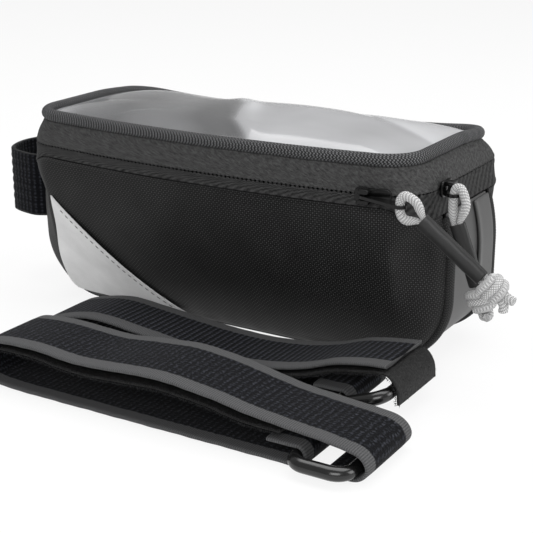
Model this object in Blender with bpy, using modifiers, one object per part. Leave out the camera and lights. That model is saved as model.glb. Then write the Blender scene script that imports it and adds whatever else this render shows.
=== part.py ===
# Top tube phone bag: a lofted fabric bag with a zipped lid and a clear phone window,
# two zip sliders with cord pulls, a stem strap, and two loose mounting straps.
# Metres, +Z up, +X towards the rider, -Y the near side. The origin is under the bag's middle.
import math

import bmesh
import bpy
import numpy as np
from mathutils import Matrix, Vector

# Driving dimensions of the bag, in metres
BAG_LENGTH = 0.198          # along the zip
BAG_WIDTH = 0.106           # along the zip
CORNER_RADIUS = 0.018       # plan corners of the zip
SIDE_RADIUS = 0.600         # bow of the long sides in plan
TAPE_FLARE = 0.0055         # how far the ends lean out below the zip
SIDE_FLARE = 0.0002         # how far the sides lean out below the zip
END_BULGE = 0.0048          # extra length at mid height
BULGE_HEIGHT = 0.046
END_CORNER_RADIUS = 0.030   # side view corners at the bottom
BOTTOM_HEIGHT = 0.0020      # underside of the fabric above the ground
SIDE_FULLNESS = 1.5         # 1 is a straight taper, 2 an ellipse
GUSSET_WIDTH = 0.044
PANEL_THICKNESS = 0.0016
PANEL_EDGE_ROOM = 0.0006    # the panels start at a slant, so their inner edges reach back
LINING_THICKNESS = 0.0012
GAP = 0.0003                # air between pieces that touch

# Zip, tapes and lid
ZIP_HEIGHT = 0.0792
ZIP_OPENING = 0.0014        # between the edges of the two tapes
TAPE_THICKNESS = 0.0012
COIL_RADIUS = 0.0007
SIDE_TAPE_WIDTH = 0.0055    # from the zip line down to the seam, along the sides
END_TAPE_WIDTH = 0.0112     # the same across the two ends
TAPE_DIP_START = 0.86       # share of the half length where the seam starts to dip
TAPE_FLARE_POWER = 1.8      # 1 is a straight lean, 2 a curve that starts upright
UPPER_TAPE_BULGE = 0.0005
UPPER_TAPE_LEAN = 0.0006
RIM_RADIUS = 0.0028
RIM_INSET = 0.0022
RIM_RISE = 0.0135           # its centre line above the zip line
RIM_SEAM = 0.0001           # between the rim and the upper tape
WINDOW_THICKNESS = 0.0006
WINDOW_DOME = 0.0050
POCKET_PANEL_THICKNESS = 0.0015
POCKET_DEPTH = 0.0050
POCKET_MOUTH = 0.026        # open stretch at the stem end where the phone goes in
CLOSURE_WIDTH = 0.016
CLOSURE_LENGTH = 0.070
HINGE_STRIP_WIDTH = 0.044
HINGE_STRIP_THICKNESS = 0.0008

# Piping, patches and strips on the outside
PIPING_RADIUS = 0.0016
PIPING_SINK = 0.0006
PIPING_END_GAP = 0.0011      # below the tape at each end
PATCH_THICKNESS = 0.0004
PATCH_TOP = 0.0460          # height of the patch's upper point
PATCH_FOOT = -0.0500        # where its slanted edge meets the bottom
PATCH_TIP = 0.0220          # length of the thin tip beyond that foot
PATCH_TIP_HEIGHT = 0.0050
END_TAB_WIDTH = 0.0135
END_TAB_EDGE = 0.0043       # its free edge, from the middle of the gusset
END_TAB_DROP = 0.0020       # its upper end below the tape's seam
END_TAB_LENGTH = 0.0380
END_TAB_THICKNESS = 0.0012
BASE_PAD_LENGTH = 0.130
BASE_PAD_WIDTH = 0.034
BASE_PAD_SLOT = 0.0040
BASE_PAD_SLOT_WIDTH = 0.026
BASE_PAD_SLOT_SPACING = 0.028
BASE_PAD_SLOTS = 4
BASE_BOARD_LENGTH = 0.140
BASE_BOARD_WIDTH = 0.034
BASE_BOARD_THICKNESS = 0.0020

# Sliders and pulls
SLIDER_LENGTH = 0.0090
SLIDER_HEIGHT = 0.0070
SLIDER_PLATE = 0.0013
SLIDER_CLEARANCE = 0.0007   # between a slider's plates and the tapes
SLIDER_POST = 0.0007
PIN_RADIUS = 0.0006
PIN_STANDOFF = 0.0021
LUG_LENGTH = 0.0022
FRONT_SLIDER_X = 0.0782
REAR_SLIDER_Y = -0.0225
TAB_THICKNESS = 0.0013
TAB_WIDTH = 0.0056          # round the cord's eye
TAB_PIN_END_WIDTH = 0.0035  # round the pin
TAB_EYE_RADIUS = 0.0017
PIN_EYE_RADIUS = 0.0010
CORD_RADIUS = 0.0012
SLEEVE_WIDTH = 0.0068
SLEEVE_DEPTH = 0.0042
SLEEVE_WALL = 0.0005
KNOT_HOLE_RADIUS = 0.0032
KNOT_TURN_RADIUS = 0.0016
KNOT_TURNS = 3

# Stem strap and loose straps
STEM_STRAP_THICKNESS = 0.0020
STEM_STRAP_WIDTH = 0.0300
STEM_STRAP_DROP = 0.0020    # its upper edge below the tape's seam
STEM_LOOP_REACH = 0.0270
STEM_LOOP_HALF_WIDTH = 0.0220
STRAP_WIDTH = 0.036
STRAP_THICKNESS = 0.0018
HOOK_TAPE_WIDTH = 0.030
HOOK_TAPE_THICKNESS = 0.0014
HOOK_TAPE_DROP = 0.0010     # air between a strap and the hook tape under it
RING_BAR_RADIUS = 0.0024
RING_LENGTH = 0.050         # along the bars, over all
RING_CORNER = 0.0060        # of the ring's centre line
RING_SPAN = 0.0222          # from bar to bar, centre to centre
REAR_RING_LENGTH = 0.0465
FRONT_STRAP_Y = -0.1110
FRONT_RING_X = 0.0930       # of the bar that its strap turns round
REAR_STRAP_Y = -0.0620
REAR_STRAP_WIDTH = 0.0325
REAR_RING_X = 0.0840
REAR_RING_TILT = math.radians(20)
SEWN_TAIL = 0.0120          # of each strap, above its ring's bar

HALF_LENGTH = BAG_LENGTH / 2
HALF_WIDTH = BAG_WIDTH / 2
HALF_GUSSET = GUSSET_WIDTH / 2
SEAM_SETBACK = PIPING_RADIUS + GAP
PANEL_EDGE_Y = HALF_GUSSET + SEAM_SETBACK + PANEL_EDGE_ROOM
LOWER_TAPE_TOP = ZIP_HEIGHT - ZIP_OPENING / 2
UPPER_TAPE_BOTTOM = ZIP_HEIGHT + ZIP_OPENING / 2
LOWER_TAPE_EDGE_SIDE = ZIP_HEIGHT - SIDE_TAPE_WIDTH
LOWER_TAPE_EDGE_END = ZIP_HEIGHT - END_TAPE_WIDTH
RIM_HEIGHT = ZIP_HEIGHT + RIM_RISE
UPPER_TAPE_TOP = RIM_HEIGHT - RIM_RADIUS - RIM_SEAM
SIDE_CENTRE = SIDE_RADIUS - HALF_WIDTH
CORNER_X = HALF_LENGTH - CORNER_RADIUS
CORNER_Y = math.sqrt((SIDE_RADIUS - CORNER_RADIUS) ** 2 - CORNER_X ** 2) - SIDE_CENTRE
SIDE_ANGLE = math.atan2(CORNER_X, CORNER_Y + SIDE_CENTRE)
POCKET_PANEL_TOP = RIM_HEIGHT - POCKET_DEPTH - WINDOW_THICKNESS


for old in list(bpy.data.objects):
    bpy.data.objects.remove(old, do_unlink=True)

bag = bpy.data.collections.new("top_tube_phone_bag")
cutters = bpy.data.collections.new("cutters")
bpy.context.scene.collection.children.link(bag)
bpy.context.scene.collection.children.link(cutters)


def finish(name, colour, roughness, metallic=0.0):
    """One Principled material."""
    made = bpy.data.materials.new(name)
    made.use_nodes = True
    shader = made.node_tree.nodes["Principled BSDF"]
    shader.inputs["Base Color"].default_value = (*colour, 1.0)
    shader.inputs["Roughness"].default_value = roughness
    shader.inputs["Metallic"].default_value = metallic
    return made


WOVEN = finish("black_woven_nylon", (0.012, 0.012, 0.014), 0.75)
COATED = finish("grey_coated_fabric", (0.11, 0.11, 0.115), 0.6)
TAPE = finish("charcoal_zip_tape", (0.040, 0.040, 0.042), 0.8)
PIPING = finish("braided_piping", (0.022, 0.022, 0.025), 0.75)
COIL = finish("black_zip_coil", (0.01, 0.01, 0.01), 0.45)
PATCH = finish("reflective_film", (0.52, 0.53, 0.52), 0.4)
FILM = finish("clear_window_film", (0.60, 0.61, 0.62), 0.08)
LINING = finish("grey_lining", (0.22, 0.22, 0.23), 0.8)
BOARD = finish("stiffener_board", (0.05, 0.05, 0.05), 0.6)
PAD = finish("rubber_pad", (0.02, 0.02, 0.02), 0.8)
METAL = finish("black_metal", (0.02, 0.02, 0.022), 0.35, 1.0)
CORD = finish("light_grey_cord", (0.50, 0.49, 0.47), 0.8)
SLEEVE = finish("rubber_sleeve", (0.045, 0.045, 0.052), 0.55)
STRAP = finish("strap_loop_pile", (0.010, 0.012, 0.022), 0.85)
HOOK = finish("hook_tape", (0.008, 0.008, 0.010), 0.7)
PLASTIC = finish("black_plastic", (0.02, 0.02, 0.022), 0.3)


def add(name, mesh, material, smooth=True):
    """Link a mesh to the bag's collection as one named piece."""
    piece = bpy.data.objects.new(name, mesh)
    bag.objects.link(piece)
    mesh.materials.clear()
    mesh.materials.append(material)
    if smooth:
        mesh.shade_smooth()
        mesh.set_sharp_from_angle(angle=math.radians(40))
    return piece


def mesh_of(source):
    """The evaluated mesh of a curve object, its caps welded; the curve is removed."""
    graph = bpy.context.evaluated_depsgraph_get()
    mesh = bpy.data.meshes.new_from_object(source.evaluated_get(graph))
    mesh.transform(source.matrix_world)
    bpy.data.objects.remove(source, do_unlink=True)
    work = bmesh.new()
    work.from_mesh(mesh)
    bmesh.ops.remove_doubles(work, verts=work.verts, dist=0.00001)
    bmesh.ops.recalc_face_normals(work, faces=work.faces)
    work.to_mesh(mesh)
    work.free()
    return mesh


def surface(name, grid, material, thickness, outward=False, closed=False):
    """An open sheet through a grid of points (rows, columns, 3), given a wall by Solidify.

    The sheet's faces look to the left of its rows' direction when its columns rise."""
    rows, columns = grid.shape[:2]
    number = np.arange(rows * columns).reshape(rows, columns)
    if closed:
        number = np.hstack([number, number[:, :1]])
    a, b = number[:-1, :-1], number[:-1, 1:]
    c, d = number[1:, 1:], number[1:, :-1]
    faces = np.stack([a, b, c, d], -1).reshape(-1, 4)
    piece = add(name, sheet_mesh(name, grid.reshape(-1, 3), faces), material)
    add_wall(piece, thickness, outward)
    return piece


def sheet_mesh(name, points, faces):
    """A mesh whose coinciding points are merged."""
    mesh = bpy.data.meshes.new(name)
    mesh.from_pydata(points.tolist(), [], faces.tolist())
    work = bmesh.new()
    work.from_mesh(mesh)
    bmesh.ops.remove_doubles(work, verts=work.verts, dist=0.00001)
    work.to_mesh(mesh)
    work.free()
    return mesh


def add_wall(piece, thickness, outward=False):
    """Give an open sheet its thickness, behind its faces or in front of them."""
    wall = piece.modifiers.new("wall", "SOLIDIFY")
    wall.thickness = thickness
    wall.offset = 1.0 if outward else -1.0
    wall.use_even_offset = True
    wall.use_quality_normals = True


def poly_curve(name, outlines, dimensions, closed=True):
    """A curve object of straight stretches through each list of points."""
    data = bpy.data.curves.new(name, "CURVE")
    data.dimensions = dimensions
    for outline in outlines:
        spline = data.splines.new("POLY")
        spline.points.add(len(outline) - 1)
        for point, place in zip(spline.points, outline):
            point.co = (*place, 0.0, 1.0) if len(place) == 2 else (*place, 1.0)
        spline.use_cyclic_u = closed
    piece = bpy.data.objects.new(name, data)
    bag.objects.link(piece)
    return piece


def tube(name, points, radius, material, closed=False, sides=2):
    """A round bar, cord or piping along a path."""
    path = poly_curve(name, [np.asarray(points).tolist()], "3D", closed)
    path.data.bevel_depth = radius
    path.data.bevel_resolution = sides
    path.data.use_fill_caps = not closed
    mesh = mesh_of(path)
    mesh.name = name
    return add(name, mesh, material)


def plate(name, outlines, thickness, material, place=Matrix.Identity(4)):
    """A flat piece cut to an outline, with holes, centred on its own plane."""
    flat = poly_curve(name, [np.asarray(line).tolist() for line in outlines], "2D")
    flat.data.fill_mode = "BOTH"
    flat.data.extrude = thickness / 2
    mesh = mesh_of(flat)
    mesh.name = name
    mesh.transform(place)
    return add(name, mesh, material)


def bevelled(piece, width, segments=2):
    """Round a hard-edged piece's edges."""
    soft = piece.modifiers.new("soft_edges", "BEVEL")
    soft.width = width
    soft.segments = segments
    soft.limit_method = "ANGLE"
    soft.angle_limit = math.radians(40)
    return piece


def smooth_path(points, count):
    """A Catmull-Rom curve through hand-chosen points, read at even steps of its parameter."""
    points = np.asarray(points, float)
    ends = np.vstack([2 * points[0] - points[1], points, 2 * points[-1] - points[-2]])
    where = np.linspace(0, len(points) - 1, count)
    first = np.minimum(where.astype(int), len(points) - 2)
    t = (where - first)[:, None]
    p0, p1, p2, p3 = (ends[first + shift] for shift in range(4))
    return 0.5 * (2 * p1 + (p2 - p0) * t + (2 * p0 - 5 * p1 + 4 * p2 - p3) * t ** 2
                  + (3 * p1 - p0 - 3 * p2 + p3) * t ** 3)


def arc(centre, radius, start, stop, count):
    """Points on a circular arc, angles in radians."""
    angle = np.linspace(start, stop, count)
    return np.stack([centre[0] + radius * np.cos(angle), centre[1] + radius * np.sin(angle)], 1)


def near_half(offset=0.0, edge_y=0.0, side_points=9, corner_points=6, end_points=3):
    """The near half of the zip's plan outline, from the stem end round to the rear end."""
    down = -math.pi / 2
    right = HALF_LENGTH + offset
    stem = np.stack([np.full(end_points, -right), np.linspace(-edge_y, -CORNER_Y, end_points)], 1)
    left_corner = arc((-CORNER_X, -CORNER_Y), CORNER_RADIUS + offset,
                      -math.pi, down - SIDE_ANGLE, corner_points)
    side = arc((0, SIDE_CENTRE), SIDE_RADIUS + offset, down - SIDE_ANGLE, down + SIDE_ANGLE, side_points)
    rear = np.stack([-stem[::-1, 0], stem[::-1, 1]], 1)
    right_corner = np.stack([-left_corner[::-1, 0], left_corner[::-1, 1]], 1)
    return np.vstack([stem[:-1], left_corner, side[1:-1], right_corner, rear[1:]])


def whole_outline(offset=0.0, **counts):
    """The zip's closed plan outline, anticlockwise seen from above."""
    near = near_half(offset, **counts)
    far = near[::-1] * (1, -1)
    return np.vstack([near, far[1:-1]])


def end_x(height):
    """Half the bag's length at a height: a bulging end above a round bottom corner."""
    height = np.asarray(height, float)
    top = HALF_LENGTH + TAPE_FLARE
    rise = (height - BULGE_HEIGHT) / (LOWER_TAPE_EDGE_END - BULGE_HEIGHT)
    full = top + END_BULGE * (1 - np.clip(rise, 0, None) ** 2)
    low = np.clip(BOTTOM_HEIGHT + END_CORNER_RADIUS - height, 0, END_CORNER_RADIUS)
    return full - END_CORNER_RADIUS + np.sqrt(END_CORNER_RADIUS ** 2 - low ** 2)


def side_y(height):
    """Half the bag's width at a height: narrow at the bottom piping, full at the zip."""
    down = np.clip((LOWER_TAPE_EDGE_SIDE - height) / (LOWER_TAPE_EDGE_SIDE - BOTTOM_HEIGHT), 0, 1)
    share = (1 - down ** SIDE_FULLNESS) ** (1 / SIDE_FULLNESS)
    return PANEL_EDGE_Y + (HALF_WIDTH + SIDE_FLARE - PANEL_EDGE_Y) * share


def tape_edge(x):
    """Height of the seam under the lower tape: it dips across the two ends."""
    share = np.clip((np.abs(x) / HALF_LENGTH - TAPE_DIP_START) / (1 - TAPE_DIP_START), 0, 1)
    share = share * share * (3 - 2 * share)
    return LOWER_TAPE_EDGE_SIDE + (LOWER_TAPE_EDGE_END - LOWER_TAPE_EDGE_SIDE) * share


def level_heights(count=11):
    """Shares of the height, packed closer near the round bottom."""
    return 1 - np.cos(np.linspace(0, math.pi / 2, count)) ** 1.15


def shell_rows(levels, inset=0.0):
    """Rows of the lofted side, bottom first: the plan outline scaled to each height."""
    edge_y = PANEL_EDGE_Y - inset
    plan = near_half(edge_y=PANEL_EDGE_Y)
    along = plan[:, 0] / HALF_LENGTH
    across = (-plan[:, 1] - PANEL_EDGE_Y) / (HALF_WIDTH - PANEL_EDGE_Y)
    top = tape_edge(plan[:, 0]) - 2 * inset
    rows = []
    for share in levels:
        z = BOTTOM_HEIGHT + inset + share * (top - BOTTOM_HEIGHT - inset)
        outer = z - inset
        y = edge_y + (side_y(outer) - inset - edge_y) * across
        x = np.minimum(end_x(outer), end_x(z)) - inset * 1.1
        rows.append(np.stack([along * x, -y, z], 1))
    return np.array(rows)


def end_path(levels, inset=0.0):
    """The seam path down the stem end, along the bottom and up the rear end, as (x, z)."""
    z = BOTTOM_HEIGHT + levels * (LOWER_TAPE_EDGE_END - BOTTOM_HEIGHT)
    right = np.stack([end_x(z), z], 1)
    bottom = np.linspace(right[0, 0], -right[0, 0], 16)[1:-1]
    floor = np.stack([bottom, np.full(len(bottom), BOTTOM_HEIGHT)], 1)
    left = right * (-1, 1)
    path = np.vstack([left[::-1], floor[::-1], right])
    along = np.gradient(path, axis=0)
    along /= np.linalg.norm(along, axis=1)[:, None]
    inward = np.stack([-along[:, 1], along[:, 0]], 1)
    return path + inward * inset


def mirrored(grid):
    """The same sheet on the far side, its rows turned round so that it still faces out."""
    return grid[:, ::-1] * (1, -1, 1)


def make_side_panels(levels):
    near = shell_rows(levels)
    surface("side_panel_near", near, WOVEN, PANEL_THICKNESS)
    surface("side_panel_far", mirrored(near), WOVEN, PANEL_THICKNESS)


def make_gusset(levels):
    """The strip between the two pipings, set back from them by their radius."""
    path = end_path(levels)
    y = np.linspace(-1, 1, 3) * (HALF_GUSSET - SEAM_SETBACK)
    grid = np.array([[(x, side, z) for x, z in path] for side in y])
    surface("gusset", grid[::-1], COATED, PANEL_THICKNESS)


def make_piping(levels):
    path = end_path(levels, PIPING_SINK)
    for side, name in ((-1, "piping_near"), (1, "piping_far")):
        points = np.array([(x, side * HALF_GUSSET, z) for x, z in path])
        for end, inner in ((0, 1), (-1, -2)):
            share = PIPING_END_GAP / abs(points[end, 2] - points[inner, 2])
            points[end] += (points[inner] - points[end]) * share
        tube(name, points, PIPING_RADIUS, PIPING)


def make_end_tab():
    """A strip sewn on the rear end; one edge stays free and shows as a dark line."""
    top = LOWER_TAPE_EDGE_END - END_TAB_DROP
    z = np.linspace(top - END_TAB_LENGTH, top, 9)
    x = end_x(z) + GAP
    y = (END_TAB_EDGE, END_TAB_EDGE + END_TAB_WIDTH)
    grid = np.array([[(xx, side, zz) for side in y] for xx, zz in zip(x, z)])
    surface("end_tab", grid, COATED, END_TAB_THICKNESS, outward=True)


def make_patches():
    """Reflective film on the lower stem-end corner of each side, with a thin tip at its foot."""
    plan = near_half(edge_y=PANEL_EDGE_Y, side_points=41, corner_points=21, end_points=9)
    run = np.concatenate([[0], np.cumsum(np.linalg.norm(np.diff(plan, axis=0), axis=1))])
    along = plan[:, 0] / HALF_LENGTH
    across = (-plan[:, 1] - PANEL_EDGE_Y) / (HALF_WIDTH - PANEL_EDGE_Y)
    curve = BOTTOM_HEIGHT + END_CORNER_RADIUS * (1 - np.cos(np.linspace(0.24, math.pi / 2, 12)))
    straight = np.linspace(curve[-1], PATCH_TOP - 4 * GAP, 4)[1:]
    rows = []
    for z in np.concatenate([curve, straight]):
        share = (z - BOTTOM_HEIGHT) / (PATCH_TOP - BOTTOM_HEIGHT)
        slant = PATCH_FOOT + (-float(end_x(PATCH_TOP)) - PATCH_FOOT) * share
        tip = PATCH_TIP * max(0.0, 1 - (z - BOTTOM_HEIGHT) / PATCH_TIP_HEIGHT)
        stop = np.interp((slant + tip) / end_x(z), along, run)
        place = np.linspace(0, stop, 16)
        x = np.interp(place, run, along) * end_x(z)
        y = PANEL_EDGE_Y + (side_y(z) - PANEL_EDGE_Y) * np.interp(place, run, across)
        rows.append(np.stack([x, -y, np.full(len(x), z)], 1))
    near = np.array(rows)
    lift = 2 * GAP
    surface("reflective_patch_near", lifted(near, lift), PATCH, PATCH_THICKNESS, outward=True)
    surface("reflective_patch_far", lifted(mirrored(near), lift), PATCH, PATCH_THICKNESS, outward=True)


def lifted(grid, distance):
    """Move a sheet off its carrier along its own normals."""
    down = np.gradient(grid, axis=0)
    along = np.gradient(grid, axis=1)
    normal = np.cross(along, down)
    normal /= np.linalg.norm(normal, axis=2)[..., None]
    return grid + normal * distance


def make_tapes():
    """Lower tape from the zip to the panel seam, upper tape from the zip to the lid rim."""
    plan = whole_outline()
    top = np.stack([plan[:, 0], plan[:, 1], np.full(len(plan), LOWER_TAPE_TOP)], 1)
    edge = tape_edge(plan[:, 0]) + 3 * GAP
    spread = end_x(edge) / HALF_LENGTH
    bottom = np.stack([plan[:, 0] * spread, plan[:, 1] * (HALF_WIDTH + SIDE_FLARE) / HALF_WIDTH, edge], 1)
    rows = []
    for down in (1, 0.78, 0.56, 0.34, 0):
        spread = top + (bottom - top) * down ** TAPE_FLARE_POWER
        height = top[:, 2] + (edge - LOWER_TAPE_TOP) * down
        rows.append(np.column_stack([spread[:, :2], height]))
    surface("zip_tape_lower", np.array(rows), TAPE, TAPE_THICKNESS, closed=True)

    rows = []
    for share in (0, 0.35, 0.7, 1):
        swell = UPPER_TAPE_BULGE * math.sin(math.pi * share) - UPPER_TAPE_LEAN * share
        ring = whole_outline(swell)
        z = UPPER_TAPE_BOTTOM + (UPPER_TAPE_TOP - UPPER_TAPE_BOTTOM) * share
        rows.append(np.column_stack([ring, np.full(len(ring), z)]))
    surface("zip_tape_upper", np.array(rows), TAPE, TAPE_THICKNESS, closed=True)


def make_coils():
    inset = -(TAPE_THICKNESS + GAP + COIL_RADIUS)
    ring = whole_outline(inset)
    for name, z in (("zip_coil_lower", LOWER_TAPE_TOP - 2 * COIL_RADIUS),
                    ("zip_coil_upper", UPPER_TAPE_BOTTOM + 2 * COIL_RADIUS)):
        tube(name, np.column_stack([ring, np.full(len(ring), z)]), COIL_RADIUS, COIL, closed=True, sides=1)


def make_lid():
    ring = whole_outline(-RIM_INSET)
    tube("lid_rim", np.column_stack([ring, np.full(len(ring), RIM_HEIGHT)]), RIM_RADIUS, PIPING,
         closed=True, sides=3)
    make_window()
    make_pocket()


def make_window():
    """A sheet of clear film that domes up inside the rim."""
    edge = whole_outline(-(RIM_INSET + RIM_RADIUS + GAP))
    work = bmesh.new()
    rings = []
    for share in (1.0, 0.94, 0.82, 0.62, 0.36):
        z = RIM_HEIGHT + WINDOW_DOME * (1 - share ** 2.4)
        rings.append([work.verts.new((x * share, y * share, z)) for x, y in edge])
    middle = work.verts.new((0, 0, RIM_HEIGHT + WINDOW_DOME))
    count = len(edge)
    for outer, inner in zip(rings[:-1], rings[1:]):
        for k in range(count):
            nxt = (k + 1) % count
            work.faces.new((outer[k], outer[nxt], inner[nxt], inner[k]))
    for k in range(count):
        work.faces.new((rings[-1][k], rings[-1][(k + 1) % count], middle))
    mesh = bpy.data.meshes.new("lid_window")
    work.to_mesh(mesh)
    work.free()
    add_wall(add("lid_window", mesh, FILM), WINDOW_THICKNESS)


def make_pocket():
    """The padded layer that carries the phone, open at the stem end, and its closing strip."""
    outline = whole_outline(-(TAPE_THICKNESS + 1.3 * GAP))
    mouth_x = -HALF_LENGTH + POCKET_MOUTH
    kept = outline[outline[:, 0] > mouth_x]
    middle = POCKET_PANEL_TOP - POCKET_PANEL_THICKNESS / 2
    start = int(np.argmin(kept[:, 0] + (kept[:, 1] > 0)))
    plate("phone_pocket_panel", [np.roll(kept, -start, axis=0)], POCKET_PANEL_THICKNESS, LINING,
          Matrix.Translation((0, 0, middle)))
    half = CLOSURE_LENGTH / 2
    under = POCKET_PANEL_TOP - POCKET_PANEL_THICKNESS - GAP - HOOK_TAPE_THICKNESS / 2
    strip = [(0, -half), (CLOSURE_WIDTH, -half), (CLOSURE_WIDTH, half), (0, half)]
    plate("pocket_closure", [strip], HOOK_TAPE_THICKNESS, HOOK,
          Matrix.Translation((mouth_x + 2 * SEAM_SETBACK, 0, under)))


def make_hinge_strip():
    """The fabric the lid folds on, over the lower tape at the stem end."""
    out = GAP
    top = (HALF_LENGTH + out, LOWER_TAPE_TOP)
    low_share = 0.5
    low_z = LOWER_TAPE_TOP + (LOWER_TAPE_EDGE_END - LOWER_TAPE_TOP) * low_share
    low = (HALF_LENGTH + TAPE_FLARE * low_share + out, low_z)
    half = HINGE_STRIP_WIDTH / 2
    grid = np.array([[(-x, half, z), (-x, -half, z)] for x, z in (low, top)])
    surface("lid_hinge_strip", grid, TAPE, HINGE_STRIP_THICKNESS, outward=True)


def make_lining(levels):
    """The padded tub inside the panels, closed along the bottom."""
    inset = PANEL_THICKNESS + 2 * GAP
    near = shell_rows(levels, inset)
    far = mirrored(near)
    rows = np.concatenate([near, far], axis=1)
    columns = near.shape[1]
    number = np.arange(rows.shape[0] * rows.shape[1]).reshape(rows.shape[:2])
    ring = np.hstack([number, number[:, :1]])
    walls = np.stack([ring[:-1, :-1], ring[:-1, 1:], ring[1:, 1:], ring[1:, :-1]], -1).reshape(-1, 4)
    near_edge = number[0, :columns]
    far_edge = number[0, columns:][::-1]
    floor = np.stack([near_edge[1:], near_edge[:-1], far_edge[:-1], far_edge[1:]], -1)
    mesh = sheet_mesh("inner_lining", rows.reshape(-1, 3), np.vstack([walls, floor]))
    add_wall(add("inner_lining", mesh, LINING), LINING_THICKNESS)


def box_outline(length, width):
    half, side = length / 2, width / 2
    return [(-half, -side), (half, -side), (half, side), (-half, side)]


def make_base():
    """The board inside and the rubbery pad outside, slotted for the mounting straps."""
    floor = BOTTOM_HEIGHT + PANEL_THICKNESS + 2 * GAP + LINING_THICKNESS
    board = plate("base_board", [box_outline(BASE_BOARD_LENGTH, BASE_BOARD_WIDTH)], BASE_BOARD_THICKNESS,
                  BOARD, Matrix.Translation((0, 0, floor + GAP + BASE_BOARD_THICKNESS / 2)))
    bevelled(board, 0.0004, 1)
    thickness = BOTTOM_HEIGHT - GAP
    slots = []
    for k in range(BASE_PAD_SLOTS):
        hole = np.array(box_outline(BASE_PAD_SLOT, BASE_PAD_SLOT_WIDTH))
        slots.append(hole + ((k - (BASE_PAD_SLOTS - 1) / 2) * BASE_PAD_SLOT_SPACING, 0))
    plate("base_pad", [box_outline(BASE_PAD_LENGTH, BASE_PAD_WIDTH), *slots], thickness, PAD,
          Matrix.Translation((0, 0, thickness / 2)))


def slider_frame(position, direction):
    """Local +X along the zip, +Y outwards from the bag, +Z up, at the zip's parting line."""
    along = Vector((*direction, 0)).normalized()
    up = Vector((0, 0, 1))
    out = along.cross(up)
    turn = Matrix((along, out, up)).transposed().to_4x4()
    return Matrix.Translation((*position, ZIP_HEIGHT)) @ turn


def cube(size, centre):
    """A box mesh from its size and centre."""
    work = bmesh.new()
    bmesh.ops.create_cube(work, size=1.0)
    bmesh.ops.scale(work, vec=size, verts=work.verts)
    bmesh.ops.translate(work, vec=centre, verts=work.verts)
    mesh = bpy.data.meshes.new("block")
    work.to_mesh(mesh)
    work.free()
    return mesh


def united(name, meshes, material):
    """One solid from overlapping solids."""
    first = add(name, meshes[0], material)
    for k, mesh in enumerate(meshes[1:]):
        part = bpy.data.objects.new(f"{name}_cutter_{k}", mesh)
        cutters.objects.link(part)
        part.hide_render = True
        part.display_type = "WIRE"
        joint = first.modifiers.new(f"join_{k}", "BOOLEAN")
        joint.operation = "UNION"
        joint.object = part
    return first


def make_slider(name, frame):
    """Two plates either side of the tapes, joined by a post, with lugs that hold the tab's pin."""
    outer = SLIDER_CLEARANCE + SLIDER_PLATE / 2
    inner = -(TAPE_THICKNESS + GAP + 2 * COIL_RADIUS + SLIDER_CLEARANCE + SLIDER_PLATE / 2)
    front = cube((SLIDER_LENGTH, SLIDER_PLATE, SLIDER_HEIGHT), (0, outer, 0))
    back = cube((SLIDER_LENGTH * 0.9, SLIDER_PLATE, SLIDER_HEIGHT * 0.9), (0, inner, 0))
    post = cube((SLIDER_LENGTH * 0.4, outer - inner, SLIDER_POST), (0, (outer + inner) / 2, 0))
    face = SLIDER_CLEARANCE + SLIDER_PLATE
    reach = PIN_STANDOFF + 2 * PIN_RADIUS
    lug_z = SLIDER_HEIGHT / 2 - LUG_LENGTH / 2 - GAP
    lugs = [cube((2 * LUG_LENGTH, reach + GAP, LUG_LENGTH), (0, face + reach / 2 - GAP / 2, side * lug_z))
            for side in (-1, 1)]
    pin = bmesh.new()
    bmesh.ops.create_cone(pin, cap_ends=True, segments=12, radius1=PIN_RADIUS, radius2=PIN_RADIUS,
                          depth=2 * lug_z)
    bmesh.ops.translate(pin, vec=(0, face + PIN_STANDOFF, 0), verts=pin.verts)
    bar = bpy.data.meshes.new("pin")
    pin.to_mesh(bar)
    pin.free()
    body = united(name, [front, back, post, *lugs, bar], METAL)
    bevelled(body, 0.0003, 1)
    body.matrix_world = frame
    for part in cutters.objects:
        if part.name.startswith(name):
            part.matrix_world = frame
    return body


def pin_place(frame):
    """The middle of a slider's pin, in world coordinates."""
    return frame @ Vector((0, SLIDER_CLEARANCE + SLIDER_PLATE + PIN_STANDOFF, 0))


def circle(centre, radius, count=12):
    return arc(centre, radius, 0, 2 * math.pi * (1 - 1 / count), count)


def make_tab(name, pin, eye):
    """A flat tab with one eye round the pin and one for the cord."""
    reach = math.hypot(eye[0] - pin[0], eye[1] - pin[1])
    half = TAB_WIDTH / 2
    left = arc((0, 0), TAB_PIN_END_WIDTH / 2, math.pi / 2, 3 * math.pi / 2, 9)
    right = arc((reach, 0), half, -math.pi / 2, math.pi / 2, 9)
    outline = np.vstack([left, right])
    holes = [circle((0, 0), PIN_EYE_RADIUS), circle((reach, 0), TAB_EYE_RADIUS)]
    turn = math.atan2(eye[1] - pin[1], eye[0] - pin[0])
    place = Matrix.Translation(pin) @ Matrix.Rotation(turn, 4, "Z")
    return bevelled(plate(name, [outline, *holes], TAB_THICKNESS, METAL, place), 0.0002, 1)


def sleeve_frame(mouth, end, side):
    """Local +Z along the sleeve from its mouth, +X across the two cords inside."""
    along = (Vector(end) - Vector(mouth)).normalized()
    across = (Vector(side) - along * along.dot(Vector(side))).normalized()
    turn = Matrix((across, along.cross(across), along)).transposed().to_4x4()
    return Matrix.Translation(mouth) @ turn


def ellipse(width, depth, count=20):
    angle = np.linspace(0, 2 * math.pi, count, endpoint=False)
    return np.stack([width / 2 * np.cos(angle), depth / 2 * np.sin(angle)], 1)


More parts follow.
